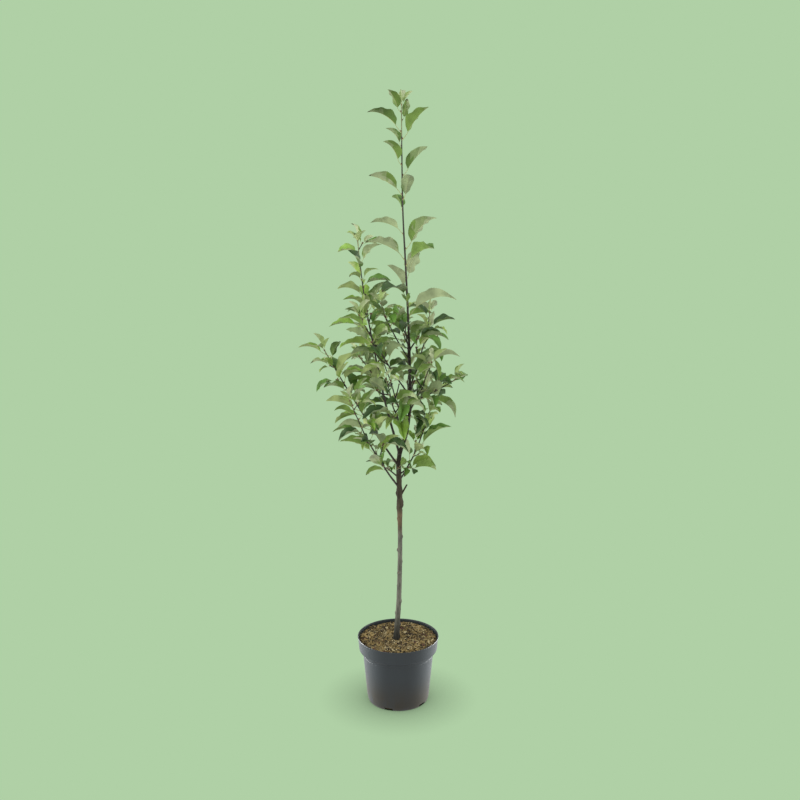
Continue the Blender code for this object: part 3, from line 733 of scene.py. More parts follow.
def grow_leaf(crown, owner, found, make, stem, place, azimuth, length, shape, reach=None):
    """Adds the first leaf that is clear, of a few turns about the stem, unless it leaves the reach."""
    for n in range(TRIES):
        turn = (n + 1) // 2 * TRY_TURN * (1 if n % 2 else -1)
        leaf = make(stem, place, azimuth + turn, length, *shape)
        if crown.clear(leaf, owner):
            if reach is None or is_within(leaf, *reach):
                crown.add_leaf(leaf, owner)
                found.append(leaf)
            return


def is_within(leaf, low, high):
    """Whether a leaf stays in the box between two corners, with a little play."""
    return all(low[k] - REACH_PLAY < p[k] < high[k] + REACH_PLAY for p in leaf.shape()[0] for k in range(3))


def leader_leaves(crown, stem):
    """The leader's leaves where the tree has them, each hung with a little seeded unevenness."""
    rng = random.Random(LEADER_SEED)
    found = []
    for height, azimuth, length, rise in LEADER_LEAVES:
        shape = (
            rise,
            LEADER_LEAF_ARCH + rng.uniform(-16, 16),
            LEAF_FOLD + rng.uniform(-9, 9),
            rng.uniform(-14, 14),
        )
        grow_leaf(crown, "leader", found, make_leader_leaf, stem, height, azimuth, length, shape)
    return found + tip_leaves(crown, "leader", stem, rng)


def grow_shoot(crown, owner, stem, seed):
    """Side twigs and leaves of a shoot, by a seeded rule."""
    rng = random.Random(seed)
    twigs = side_twigs(crown, owner, stem, rng)
    leaves = spiral_leaves(crown, owner, stem, rng)
    for twig in twigs:
        leaves += rosette(crown, owner, twig, TWIG_LEAVES, rng)
    return twigs, leaves + tip_leaves(crown, owner, stem, rng)


def outward(run, azimuth):
    """Unit vector square to a stem's run, on the side of that azimuth."""
    flat = heading(azimuth, 0)
    return (flat - run * flat.dot(run)).normalized()


def bent_twig(foot, way, length, *radii):
    """A twig that bends up a little halfway."""
    bend = foot + way * 0.5 * length
    tip = bend + way.lerp(UP, TWIG_LIFT).normalized() * 0.5 * length
    return Limb([foot, bend, tip], list(radii))


def side_twigs(crown, owner, stem, rng):
    """Short twigs that branch from the lower part of a shoot, round it in a spiral."""
    count = round(stem.length / TWIG_EVERY)
    azimuth = rng.uniform(0, 360)
    twigs = []
    for i in range(count):
        share = TWIG_FROM + (TWIG_TO - TWIG_FROM) * (i + rng.uniform(0.1, 0.9)) / count
        azimuth += DIVERGENCE + rng.uniform(-30, 30)
        foot, run, _ = stem.at(share * stem.length)
        angle = math.radians(TWIG_SPREAD)
        way = math.cos(angle) * run + math.sin(angle) * outward(run, azimuth)
        length = TWIG_LENGTH * rng.uniform(0.7, 1.25)
        twig = bent_twig(foot, way, length, TWIG_RADIUS, TWIG_RADIUS, SHOOT_TIP_RADIUS)
        if crown.room_for(twig, owner):
            crown.add_limb(twig, owner)
            twigs.append(twig)
    return twigs


def spiral_leaves(crown, owner, stem, rng):
    """Leaves up a shoot in a spiral with seeded unevenness, the largest low down."""
    azimuth = rng.uniform(0, 360)
    count = max(2, int((stem.length - 0.006) / INTERNODE))
    found = []
    for i in range(count):
        share = (i + 0.35) / count
        distance = min(stem.length - 0.002, (share + rng.uniform(-0.15, 0.15) / count) * stem.length)
        azimuth += DIVERGENCE + rng.uniform(-18, 18)
        size = (LEAF_LENGTH_FOOT + (LEAF_LENGTH_TIP - LEAF_LENGTH_FOOT) * share) * rng.uniform(0.82, 1.17)
        shape = (
            LEAF_SPREAD + rng.uniform(-9, 9),
            LEAF_ARCH * (0.7 + 0.4 * size / LEAF_LENGTH_FOOT) + rng.uniform(-18, 18),
            LEAF_FOLD + rng.uniform(-10, 10),
            rng.uniform(-28, 28),
        )
        grow_leaf(crown, owner, found, make_leaf, stem, distance, azimuth, size, shape)
    return found


def rosette(crown, owner, stem, count, rng):
    """Small leaves close together round the end of a twig or spur."""
    azimuth = rng.uniform(0, 360)
    found = []
    for i in range(count):
        size = LEAF_LENGTH_FOOT * rng.uniform(0.60, 0.90)
        place = stem.length * (0.93 - 0.05 * i)
        shape = (
            ROSETTE_SPREAD - ROSETTE_CLOSING * i + rng.uniform(-6, 6),
            LEAF_ARCH + rng.uniform(-15, 25),
            LEAF_FOLD + rng.uniform(-8, 8),
            rng.uniform(-15, 15),
        )
        grow_leaf(crown, owner, found, make_leaf, stem, place, azimuth + i * DIVERGENCE, size, shape)
    return found


def tip_leaves(crown, owner, stem, rng):
    """The youngest leaves, small and nearly upright round the shoot's tip."""
    found = []
    azimuth = rng.uniform(0, 360)
    place = stem.length - 0.0015
    for i in range(TIP_LEAVES):
        size = LEAF_LENGTH_TIP * (0.80 - 0.13 * i)
        shape = (YOUNG_SPREAD - ROSETTE_CLOSING * i, YOUNG_ARCH - 8 * i, YOUNG_FOLD, 0)
        grow_leaf(crown, owner, found, make_leaf, stem, place, azimuth + i * TIP_DIVERGENCE, size, shape)
    return found


def fine_twigs(crown, owner, stem, reach, rng):
    """Carries the rule on: twiglets between the leaves of a shoot, each with a few small leaves."""
    azimuth = rng.uniform(0, 360)
    twigs, leaves = [], []
    count = round(stem.length / FINE_EVERY)
    for i in range(count):
        azimuth += DIVERGENCE + rng.uniform(-25, 25)
        foot, run, _ = stem.at(stem.length * (i + rng.uniform(0.2, 0.8)) / count)
        way = (run + outward(run, azimuth) * rng.uniform(0.9, 1.5)).normalized()
        length = FINE_LENGTH * rng.uniform(0.6, 1.3)
        twig = bent_twig(foot, way, length, *(FINE_RADIUS * share for share in (1, 0.9, 0.8)))
        if not crown.room_for(twig, owner):
            continue
        crown.add_limb(twig, owner)
        grown = []
        for n in range(FINE_LEAVES):
            size = FINE_LEAF * rng.uniform(0.7, 1.25)
            place = twig.length * (0.95 - 0.1 * n)
            arch = LEAF_ARCH + rng.uniform(-15, 20)
            shape = (ROSETTE_SPREAD - 12 * n, arch, LEAF_FOLD, rng.uniform(-20, 20))
            turned = azimuth + n * DIVERGENCE
            grow_leaf(crown, owner, grown, make_leaf, twig, place, turned, size, shape, reach)
        if grown:
            twigs.append(twig)
            leaves += grown
    return twigs, leaves


@functools.lru_cache(maxsize=None)
def plan_crown():
    """Every bare bough, and each shoot's stem, twigs and leaves, worked out before any mesh is made."""
    runs = {name: bough_limb(*row) for name, row in BOUGHS.items()}
    stems, bare = {}, {}
    for name, run in runs.items():
        split = BOUGH_BARE * run.length
        bare[name] = run.part(0.0, split)
        stems[name] = run.part(split + GAP, run.length)
    crown = Crown()
    crown.add_limb(trunk_limb(SOIL_LEVEL + GAP, LEADER_START), "trunk")
    leader = trunk_limb(LEADER_START + GAP, LEADER_TIP)
    crown.add_limb(leader, "leader")
    for name in runs:
        crown.add_limb(bare[name], name + "_bough")
        crown.add_limb(stems[name], name)
    spurs = {name: spur_limb(*row[:-1]) for name, row in SPURS.items()}
    for name, spur in spurs.items():
        crown.add_limb(spur.part(trunk_radius(SPURS[name][0]), spur.length), name)
    shoots = {"leader": (leader, [], leader_leaves(crown, leader))}
    for name, spur in spurs.items():
        shoots[name] = (spur, [], rosette(crown, name, spur, SPUR_LEAVES, random.Random(SPURS[name][-1])))
    for name, stem in stems.items():
        shoots[name] = (stem, *grow_shoot(crown, name, stem, BOUGHS[name][-1]))
    rng = random.Random(LOOSE_SEED)
    for name in (*SPURS, *BOUGHS):
        stem, twigs, leaves = shoots[name]
        shoots[name] = (stem, twigs, crown.loosen(name, leaves, rng))
    for i, name in enumerate(stems):
        stem, twigs, leaves = shoots[name]
        finer = fine_twigs(crown, name, stem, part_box("foliage_" + name), random.Random(FINE_SEED + i))
        shoots[name] = (stem, twigs + finer[0], leaves + finer[1])
    return bare, shoots


def crown_nodes():
    """The frame's nodes of foliage, which the leaves, stalks and shoots stand for."""
    return ["foliage_leader", *("foliage_" + name for name in BOUGHS), *("spur_" + name for name in SPURS)]


# Settings


def setting(kind, **fixed):
    """A maker of one kind of setting from its name, its description and its default."""
    return lambda *row: kind(**dict(zip(("name", "description", "default"), row)), **fixed)


count_setting = setting(IntProperty, min=0)
number_setting = setting(FloatProperty)
length_setting = setting(FloatProperty, unit="LENGTH", precision=5)
place_setting = setting(FloatVectorProperty, subtype="TRANSLATION")
colour_setting = setting(FloatVectorProperty, subtype="COLOR", min=0.0, max=1.0)


class PotSettings(bpy.types.PropertyGroup):
    """The nursery pot."""

    segments: count_setting("Segments", "Faces round the pot", 144)
    corner: length_setting("Corner", "Rounding of the moulded corners", 0.0016)
    crease: length_setting("Crease", "Depth of the faint groove under the step", 0.00035)
    plastic: colour_setting("Plastic", "Dark slate of the pot", (0.016, 0.024, 0.027))
    # A brown tinge that the finish mixes in more and more towards the foot of the pot
    dust: colour_setting("Dust", "Brown dust that clings to the foot", (0.017, 0.014, 0.005))


class SoilSettings(bpy.types.PropertyGroup):
    """The potting mix and what lies on it."""

    chips: count_setting("Chips", "Chips of bark on the mix", 4300)
    chip_length: length_setting("Chip length", "Mean length of a chip", 0.0037)
    fibres: count_setting("Fibres", "Loose wood fibres on the mix", 150)
    crumbs: colour_setting("Crumbs", "Dark crumbs under the chips", (0.048, 0.036, 0.017))
    golden: colour_setting("Golden chips", "Fresh bark", (0.270, 0.195, 0.075))
    brown: colour_setting("Brown chips", "Older bark", (0.150, 0.110, 0.043))
    dark: colour_setting("Dark chips", "Wet bark", (0.036, 0.027, 0.015))
    red: colour_setting("Red chips", "Inner bark", (0.085, 0.036, 0.024))
    pale: colour_setting("Pale chips", "Wood and fibres", (0.440, 0.370, 0.200))


class BarkSettings(bpy.types.PropertyGroup):
    """The bark of trunk, boughs and shoots."""

    trunk_sides: count_setting("Trunk sides", "Faces round the trunk", 30)
    ring_step: length_setting("Ring step", "Height of one ring of the trunk's mesh", 0.0016)
    bump_height: length_setting("Bump height", "Height of the bumps that old buds left", 0.0018)
    roughness: length_setting("Bark relief", "Depth of the fine unevenness", 0.00022)
    slim: length_setting("Slimmer crown", "How much slimmer the trunk is there than its solid", 0.0006)
    grey: colour_setting("Grey bark", "Lower trunk", (0.180, 0.180, 0.138))
    orange: colour_setting("Orange bark", "Patch below the graft", (0.175, 0.125, 0.070))
    brown: colour_setting("Brown bark", "Trunk above the graft", (0.060, 0.050, 0.028))
    purple: colour_setting("Purple bark", "Boughs and shoots", (0.038, 0.032, 0.021))
    green: colour_setting("Green bark", "Tips of the shoots", (0.210, 0.230, 0.100))


class LeafSettings(bpy.types.PropertyGroup):
    """The shape of the blades and the colours of each kind of leaf."""

    cells: count_setting("Cells", "Cells along the blade of a full leaf", 12)
    tooth: number_setting("Tooth", "Depth of a tooth, by the blade's length", 0.020)
    vein: number_setting("Vein", "Depth of the side veins, by the blade's length", 0.0050)
    wave: number_setting("Wave", "Waviness of the margin, by the blade's length", 0.034)
    twist: number_setting("Twist", "Twist of the blade in degrees", 55.0)
    thickness: length_setting("Thickness", "Thickness of a blade", 0.00028)
    mature_upper: colour_setting("Mature, upper side", "Mid green", (0.110, 0.240, 0.035))
    mature_under: colour_setting("Mature, underside", "Matte grey-green", (0.390, 0.475, 0.245))
    mature_lit: colour_setting("Mature, lit through", "With light behind it", (0.175, 0.290, 0.060))
    deep_upper: colour_setting("Deep, upper side", "Dark green", (0.040, 0.098, 0.018))
    deep_under: colour_setting("Deep, underside", "Dull grey-green", (0.265, 0.345, 0.160))
    deep_lit: colour_setting("Deep, lit through", "With light behind it", (0.100, 0.180, 0.038))
    fresh_upper: colour_setting("Fresh, upper side", "Yellow-green", (0.210, 0.370, 0.045))
    fresh_under: colour_setting("Fresh, underside", "Light green", (0.400, 0.500, 0.190))
    fresh_lit: colour_setting("Fresh, lit through", "With light behind it", (0.240, 0.380, 0.070))
    young_upper: colour_setting("Young, upper side", "Pale yellow-green", (0.300, 0.430, 0.110))
    young_under: colour_setting("Young, underside", "Downy pale green", (0.470, 0.550, 0.300))
    young_lit: colour_setting("Young, lit through", "With light behind it", (0.320, 0.440, 0.150))
    # Painted shade: the dark colour given to the curled tips of some blades, where the curl falls in shadow
    dry: colour_setting("Dry tip", "Curled tips that have dried", (0.090, 0.095, 0.045))
    rib: colour_setting("Rib", "Midrib and stalks", (0.430, 0.480, 0.200))
    bud: colour_setting("Bud", "Scales of the buds", (0.150, 0.070, 0.045))


class StageSettings(bpy.types.PropertyGroup):
    """Backdrop, light and camera."""

    floor_radius: length_setting("Floor radius", "Flat part of the floor", 2.6)
    wall_radius: length_setting("Wall radius", "Where the backdrop stands upright", 4.2)
    wall_height: length_setting("Wall height", "Top of the backdrop", 5.5)
    backdrop: colour_setting("Backdrop", "Pale green paper", (0.434, 0.631, 0.381))
    shadow_reach: length_setting("Shadow reach", "How far the soft shadow of the pot goes", 0.095)
    shadow_tone: number_setting("Shadow tone", "How light the deepest shadow is", 0.04)
    sky: number_setting("Sky", "Strength of the even light from all round", 0.75)
    lens: number_setting("Lens", "Focal length in millimetres", 51.7507)
    camera_place: place_setting("Camera", "Place of the camera", (0.0035, -1.97439, 1.05))
    camera_dip: number_setting("Dip", "How far the camera looks down, in degrees", 13.5426)


SETTINGS = {
    "tree_pot": PotSettings,
    "tree_soil": SoilSettings,
    "tree_bark": BarkSettings,
    "tree_leaves": LeafSettings,
    "tree_stage": StageSettings,
}


# Finishes


class Wire:
    """A node's output. Arithmetic on it adds Math nodes."""

    def __init__(self, finish, socket):
        self.finish = finish
        self.socket = socket

    def math(self, operation, first, second):
        return self.finish.node("ShaderNodeMath", {"operation": operation}, {0: first, 1: second})

    def __add__(self, other):
        return self.math("ADD", self, other)

    def __sub__(self, other):
        return self.math("SUBTRACT", self, other)

    def __rsub__(self, other):
        return self.math("SUBTRACT", other, self)

    def __mul__(self, other):
        return self.math("MULTIPLY", self, other)

    __radd__ = __add__
    __rmul__ = __mul__


class Finish:
    """A material of one Principled shader, whose patterns follow the object's own coordinates."""

    def __init__(self, name, **fixed):
        self.material = bpy.data.materials.new(name)
        self.material.use_nodes = True
        self.tree = self.material.node_tree
        self.shader = self.tree.nodes["Principled BSDF"]
        for socket, value in fixed.items():
            self.feed(self.shader.inputs[socket.replace("_", " ")], value)
        self.place = self.node("ShaderNodeTexCoord", out="Object")

    def node(self, kind, settings=None, sockets=None, out=0):
        """Adds a node with its settings, then the values or links of its sockets. Returns its output."""
        made = self.tree.nodes.new(kind)
        for name, value in (settings or {}).items():
            if name == "stops":
                self.set_stops(made.color_ramp.elements, value)
            else:
                setattr(made, name, value)
        for socket, value in (sockets or {}).items():
            self.feed(made.inputs[socket], value)
        return Wire(self, made.outputs[out])

    @staticmethod
    def set_stops(elements, stops):
        while len(elements) < len(stops):
            elements.new(1.0)
        for element, (position, colour) in zip(elements, stops):
            element.position = position
            element.color = (*colour, 1.0)

    def feed(self, socket, value):
        if isinstance(value, Wire):
            self.tree.links.new(value.socket, socket)
        elif socket.type == "RGBA":
            socket.default_value = (*value, 1.0)
        else:
            socket.default_value = value

    def grain(self, scale, detail=2.0, stretch=(1, 1, 1)):
        """Noise from 0 to 1. Scale is in lumps per metre, and a stretch under 1 draws the lumps out."""
        place = self.node("ShaderNodeMapping", {}, {"Vector": self.place, "Scale": stretch})
        return self.node("ShaderNodeTexNoise", {}, {"Vector": place, "Scale": scale, "Detail": detail})

    def ramp(self, share, stops):
        return self.node("ShaderNodeValToRGB", {"stops": stops}, {"Fac": share})

    def step(self, value, low, high):
        """0 below the first value, 1 above the second, and smooth between them."""
        return self.node(
            "ShaderNodeMapRange",
            {"interpolation_type": "SMOOTHSTEP"},
            {"Value": value, "From Min": low, "From Max": high},
        )

    def mix(self, share, first, second):
        """A blend of two colours."""
        return self.node("ShaderNodeMix", {"data_type": "RGBA"}, {0: share, 6: first, 7: second}, out=2)

    def height(self):
        return self.node("ShaderNodeSeparateXYZ", {}, {"Vector": self.place}, out="Z")

    def tones(self, share, colour, low, high):
        """A blend of one colour made darker and the same made lighter."""
        return self.mix(share, shade(colour, low), shade(colour, high))

    def done(self, colour, roughness, relief=None, depth=0.0):
        """Feeds the shader its colour, its roughness and a relief of some depth. Returns the material."""
        self.feed(self.shader.inputs["Base Color"], colour)
        self.feed(self.shader.inputs["Roughness"], roughness)
        if relief:
            bump = self.node("ShaderNodeBump", {}, {"Height": relief, "Distance": depth, "Strength": 1.0})
            self.feed(self.shader.inputs["Normal"], bump)
        return self.material


def shade(colour, factor):
    """The colour made lighter or darker, as plain numbers."""
    return tuple(min(1.0, c * factor) for c in colour)


def plastic_finish(pot):
    """Satin dark plastic with a fine moulded grain, scuffs up the wall and a brown tinge that grows towards
    the foot.
    """
    finish = Finish("pot_plastic", Specular_IOR_Level=0.55)
    streaks = finish.grain(60, 3, (1, 1, 0.12))
    clouds = finish.grain(28, 2)
    speckle = finish.grain(1400, 2)
    # Browner towards the foot, in uneven patches
    low = 1 - finish.step(finish.height(), 0.004, 0.075)
    browner_low = low * finish.step(clouds * 0.7 + streaks * 0.5, 0.25, 0.70)
    colour = finish.mix(browner_low, finish.tones(streaks, pot.plastic, 0.86, 1.16), tuple(pot.dust))
    roughness = 0.42 + clouds * 0.10 - browner_low * 0.05
    return finish.done(colour, roughness, speckle * 0.6 + streaks * 0.4, 0.00006)


def crumb_finish(soil):
    finish = Finish("soil_crumbs", Specular_IOR_Level=0.2)
    lumps = finish.grain(520, 4)
    return finish.done(finish.tones(lumps, soil.crumbs, 0.4, 1.7), 0.95, lumps, 0.0008)


def chip_finish(name, colour):
    """Bark or wood in short bits, with a fibrous grain."""
    finish = Finish(name, Specular_IOR_Level=0.25)
    fibre = finish.grain(1300, 3, (1, 0.35, 1))
    patch = finish.grain(240, 2)
    tones = finish.tones(fibre * 0.6 + patch * 0.4, colour, 0.62, 1.35)
    return finish.done(tones, 0.75 + patch * 0.2, fibre, 0.0002)


def trunk_finish(bark):
    """Grey bark low down, an orange patch under the graft, and brown bark above it."""
    finish = Finish("trunk_bark", Specular_IOR_Level=0.3)
    streaks = finish.grain(420, 4, (1, 1, 0.16))
    blotches = finish.grain(130, 3, (1, 1, 0.5))
    flecks = finish.grain(900, 2, (0.5, 0.5, 1.6))
    height = finish.height() + (blotches - 0.5) * 0.024
    stops = (
        (0.000, shade(bark.grey, 0.14)),
        (0.020, shade(bark.grey, 0.24)),
        (0.045, shade(bark.grey, 0.45)),
        (0.070, shade(bark.grey, 0.85)),
        (0.100, shade(bark.grey, 1.10)),
        (0.350, tuple(bark.grey)),
        (0.385, tuple(bark.orange)),
        (0.415, tuple(bark.orange)),
        (0.440, shade(bark.brown, 1.20)),
        (0.540, tuple(bark.brown)),
        (0.600, shade(bark.brown, 0.5)),
        (1.000, tuple(bark.purple)),
    )
    along = finish.ramp((height - SOIL_LEVEL) * (1 / (LEADER_START - SOIL_LEVEL)), stops)
    cloudy = finish.step(finish.grain(85, 2, (1, 1, 0.5)), 0.32, 0.66)
    light = finish.step(streaks, 0.30, 0.62) * 0.35 + cloudy * 0.30 + 0.40
    pale = finish.step(flecks, 0.66, 0.74) * 0.30
    colour = finish.mix(pale, finish.mix(light, BLACK, along), (0.36, 0.34, 0.27))
    return finish.done(colour, 0.70 + streaks * 0.2, streaks * 0.6 + flecks * 0.4, 0.0003)


def twig_finish(name, colour, roughness):
    """Smooth young bark with lengthwise streaks and pale flecks."""
    finish = Finish(name, Specular_IOR_Level=0.4)
    streaks = finish.grain(600, 3, (1, 1, 0.2))
    flecks = finish.grain(1100, 1)
    base = finish.tones(streaks, colour, 0.62, 1.40)
    flecked = finish.mix(finish.step(flecks, 0.68, 0.74) * 0.5, base, (0.36, 0.30, 0.24))
    return finish.done(flecked, roughness + streaks * 0.15, streaks, 0.00015)


def blade_finish(name, colour, roughness, gloss, down=0.0):
    """One side of a leaf: tones that change from leaf to leaf and along each, and a fine net of veins."""
    finish = Finish(name, Specular_IOR_Level=gloss, Sheen_Weight=down, Sheen_Roughness=0.5)
    drift = finish.grain(30, 1)
    patch = finish.grain(90, 3)
    net = finish.grain(1500, 2)
    tone = finish.step(drift * 0.55 + patch * 0.3 + net * 0.15, 0.36, 0.64)
    return finish.done(finish.tones(tone, colour, 0.76, 1.22), roughness + patch * 0.12, net, 0.0001)


def stalk_finish(leaves):
    finish = Finish("leaf_stalk", Specular_IOR_Level=0.35)
    streaks = finish.grain(300, 2)
    return finish.done(finish.tones(streaks, leaves.rib, 0.75, 1.1), 0.5 + streaks * 0.1)


# Meshes


class Pile:
    """Shapes gathered into one mesh, with the number of each face's finish."""

    def __init__(self):
        self.points, self.faces, self.finishes = [], [], []

    def add(self, shape, finish=0):
        """Adds (points, faces), all in one finish, or (points, faces, finish of each face)."""
        start = len(self.points)
        self.points += [tuple(p) for p in shape[0]]
        self.faces += [tuple(start + i for i in face) for face in shape[1]]
        self.finishes += shape[2] if len(shape) > 2 else [finish] * len(shape[1])

    def piece(self, name, nodes, finishes, sharp):
        """The pile as a piece of the tree, smooth but for edges over the sharp angle."""
        mesh = bpy.data.meshes.new(name)
        mesh.from_pydata(self.points, [], self.faces)
        for finish in finishes:
            mesh.materials.append(finish)
        mesh.polygons.foreach_set("material_index", self.finishes)
        mesh.shade_smooth()
        mesh.set_sharp_from_angle(angle=math.radians(sharp))
        obj = bpy.data.objects.new(name, mesh)
        bpy.context.scene.collection.objects.link(obj)
        settle(obj, nodes)


def settle(obj, nodes):
    """Makes an object ride on the root body, and hides the nodes of the frame that it stands for."""
    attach(obj, "root")
    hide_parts(*nodes)


def deselect_all():
    for obj in bpy.context.selected_objects:
        obj.select_set(False)


def rounded(corners, steps=4):
    """Rows along a profile of (radius, height, rounding), with an arc in place of each rounded corner."""
    rows = []
    for before, (x, z, size), after in zip((None, *corners), corners, (*corners[1:], None)):
        if not size or before is None or after is None:
            rows.append((x, z))
            continue
        corner = Vector((x, z))
        back, on = Vector(before[:2]) - corner, Vector(after[:2]) - corner
        start = corner + back.normalized() * min(size, 0.45 * back.length)
        end = corner + on.normalized() * min(size, 0.45 * on.length)
        for i in range(steps + 1):
            t = i / steps
            p = start * (1 - t) ** 2 + corner * 2 * t * (1 - t) + end * t**2
            rows.append((p.x, p.y))
    return rows


def turn_profile(name, rows, segments):
    """Starts a disc at the first row of (radius, height) and extrudes its edge along the others."""
    deselect_all()
    bpy.ops.mesh.primitive_circle_add(
        vertices=segments, radius=rows[0][0], fill_type="NGON", location=(0, 0, rows[0][1])
    )
    obj = bpy.context.object
    obj.name = obj.data.name = name
    bpy.ops.object.mode_set(mode="EDIT")
    bpy.ops.mesh.select_mode(type="EDGE")
    bpy.ops.mesh.select_all(action="SELECT")
    for (near, low), (far, high) in zip(rows, rows[1:]):
        bpy.ops.mesh.extrude_edges_move(TRANSFORM_OT_translate={"value": (0, 0, high - low)})
        bpy.ops.transform.resize(value=(far / near, far / near, 1))
    return obj


def finish_turning(close, sharp):
    """Closes the last ring if asked, turns the faces outwards and smooths the turned shape."""
    if close:
        bpy.ops.mesh.edge_face_add()
    bpy.ops.mesh.select_all(action="SELECT")
    bpy.ops.mesh.normals_make_consistent(inside=False)
    bpy.ops.object.mode_set(mode="OBJECT")
    bpy.ops.object.transform_apply(location=True, rotation=True, scale=True)
    bpy.ops.object.shade_smooth_by_angle(angle=math.radians(sharp))


# Pot


def outer_wall(height):
    """Radius of the pot's outside at a height."""
    return between(OUTER_WALL, height)


def pot_profile(pot):
    """Rows of (radius, height) up the outside, over the lip and down the inside to the floor."""
    crease = STEP_FOOT - CREASE_DROP
    outside = [
        (BASE_RADIUS, 0.0, 0.0),
        (0.5 * (BASE_RADIUS + BODY_FOOT_RADIUS), 0.0024, 0.0012),
        (BODY_FOOT_RADIUS, FOOT_HEIGHT, 0.005),
        (outer_wall(crease - CREASE_HALF), crease - CREASE_HALF, 0.0006),
        (outer_wall(crease) - pot.crease, crease, 0.0004),
        (outer_wall(crease + CREASE_HALF), crease + CREASE_HALF, 0.0006),
        (BODY_TOP_RADIUS, STEP_FOOT, pot.corner),
        (COLLAR_FOOT_RADIUS, COLLAR_FOOT, pot.corner),
        (outer_wall(LIP_FOOT - 0.0006), LIP_FOOT - 0.0006, 0.0004),
        (RIM_RADIUS, LIP_FOOT, 0.0004),
        (RIM_RADIUS, POT_HEIGHT, 0.0008),
        (RIM_RADIUS - POT_WALL, POT_HEIGHT, 0.0006),
    ]
    heights = (LIP_FOOT, COLLAR_FOOT, STEP_FOOT, FOOT_HEIGHT)
    inside = [(outer_wall(z) - POT_WALL, z, pot.corner) for z in heights]
    return rounded([*outside, *inside, (outer_wall(POT_WALL) - POT_WALL, POT_WALL, 0.0)])


def drain_cutters():
    """Blocks with rounded edges that cut the slots through the foot of the wall."""
    radius = 0.5 * (BASE_RADIUS + BODY_FOOT_RADIUS) - POT_WALL
    cutters = []
    for k in range(DRAIN_SLOTS):
        angle = math.radians(DRAIN_TURN + 360 * k / DRAIN_SLOTS)
        deselect_all()
        bpy.ops.mesh.primitive_cube_add(
            size=1.0,
            location=(radius * math.cos(angle), radius * math.sin(angle), 0),
            rotation=(0, 0, angle),
            scale=(9 * POT_WALL, DRAIN_WIDTH, 2 * DRAIN_HEIGHT),
        )
        bpy.ops.object.transform_apply(location=True, rotation=True, scale=True)
        bpy.ops.object.mode_set(mode="EDIT")
        bpy.ops.mesh.select_all(action="SELECT")
        bpy.ops.mesh.bevel(offset=DRAIN_ROUNDING, segments=4)
        bpy.ops.object.mode_set(mode="OBJECT")
        cutters.append(bpy.context.object)
    for cutter in cutters:
        cutter.select_set(True)
    bpy.ops.object.join()
    return bpy.context.object


class TREE_OT_pot_shell(bpy.types.Operator):
    """Model the pot: turned wall with collar, step and lip, and slots cut through its foot"""

    bl_idname = "tree.pot_shell"
    bl_label = "Pot"

    def execute(self, context):
        pot = context.scene.tree_pot
        shell = turn_profile("pot_shell", pot_profile(pot), pot.segments)
        finish_turning(close=True, sharp=POT_SHARP)
        cutter = drain_cutters()
        deselect_all()
        context.view_layer.objects.active = shell
        shell.select_set(True)
        cut = shell.modifiers.new("drain slots", "BOOLEAN")
        cut.operation, cut.solver, cut.object = "DIFFERENCE", "EXACT", cutter
        bpy.ops.object.modifier_apply(modifier=cut.name)
        bpy.data.objects.remove(cutter)
        bpy.ops.object.shade_smooth_by_angle(angle=math.radians(POT_SHARP))
        shell.data.materials.clear()
        shell.data.materials.append(plastic_finish(pot))
        settle(shell, ["pot"])
        return {"FINISHED"}


# Potting mix


def soil_height(x, y):
    """Height of the uneven top of the mix, lowest round the trunk and highest at the back."""
    lumps = noise.noise(Vector((x, y, 0.0)) * 90) * 0.0009 + noise.noise(Vector((x, y, 0.3)) * 310) * 0.0005
    foot = trunk_point(SOIL_LEVEL)
    dip = SOIL_DIP * bell(math.hypot(x - foot.x, y - foot.y), SOIL_DIP_WIDTH)
    bank = SOIL_BANK * max(0.0, y / RIM_RADIUS)
    return SOIL_LEVEL - CRUMB_DROP + lumps - dip + bank


def chip(rng, length):
    """A flake of bark: a bent six-sided slab with uneven corners, at the origin."""
    width, thickness = length * rng.uniform(0.32, 0.62), length * rng.uniform(0.10, 0.24)
    points = []
    for z in (-0.5, 0.5):
        for x, y in CHIP_CORNERS:
            px = length * (x + rng.uniform(-0.10, 0.10))
            py = width * (y + rng.uniform(-0.14, 0.14))
            points.append(Vector((px, py, thickness * z + 0.25 * length * x * x)))
    faces = [(5, 4, 3, 2, 1, 0), (6, 7, 8, 9, 10, 11)]
    faces += [(k, (k + 1) % 6, 6 + (k + 1) % 6, 6 + k) for k in range(6)]
    return points, faces


def thrown(points, rng, place, tilt):
    """The points turned at random about the upright, tilted, and moved to a place."""
    turn, lean, way = rng.uniform(0, math.tau), math.radians(rng.uniform(0, tilt)), rng.uniform(0, math.tau)
    axis = Vector((math.cos(way), math.sin(way), 0))
    moved = []
    for p in points:
        x = p.x * math.cos(turn) - p.y * math.sin(turn)
        y = p.x * math.sin(turn) + p.y * math.cos(turn)
        flat = Vector((x, y, p.z))
        along = axis * flat.dot(axis)
        over = flat - along
        moved.append(place + along + over * math.cos(lean) + axis.cross(over) * math.sin(lean))
    return moved


def chip_shares(place):
    """Share of each tone of chip at a place, with damp and reddish patches here and there."""
    damp = min(1.0, max(0.0, 0.5 + 1.6 * noise.noise(place * 55)))
    reddish = max(0.0, noise.noise(place * 70 + UP) - 0.30)
    return 0.46 - 0.24 * damp, 0.34, 0.08 + 0.30 * damp, 0.03 + 1.6 * reddish, 0.06


def on_soil(rng, edge):
    """A random place on the mix, as far out as `edge`."""
    radius, angle = edge * math.sqrt(rng.random()), rng.uniform(0, math.tau)
    x, y = radius * math.cos(angle), radius * math.sin(angle)
    return Vector((x, y, soil_height(x, y)))


def soil_edge():
    return outer_wall(SOIL_LEVEL) - POT_WALL - GAP


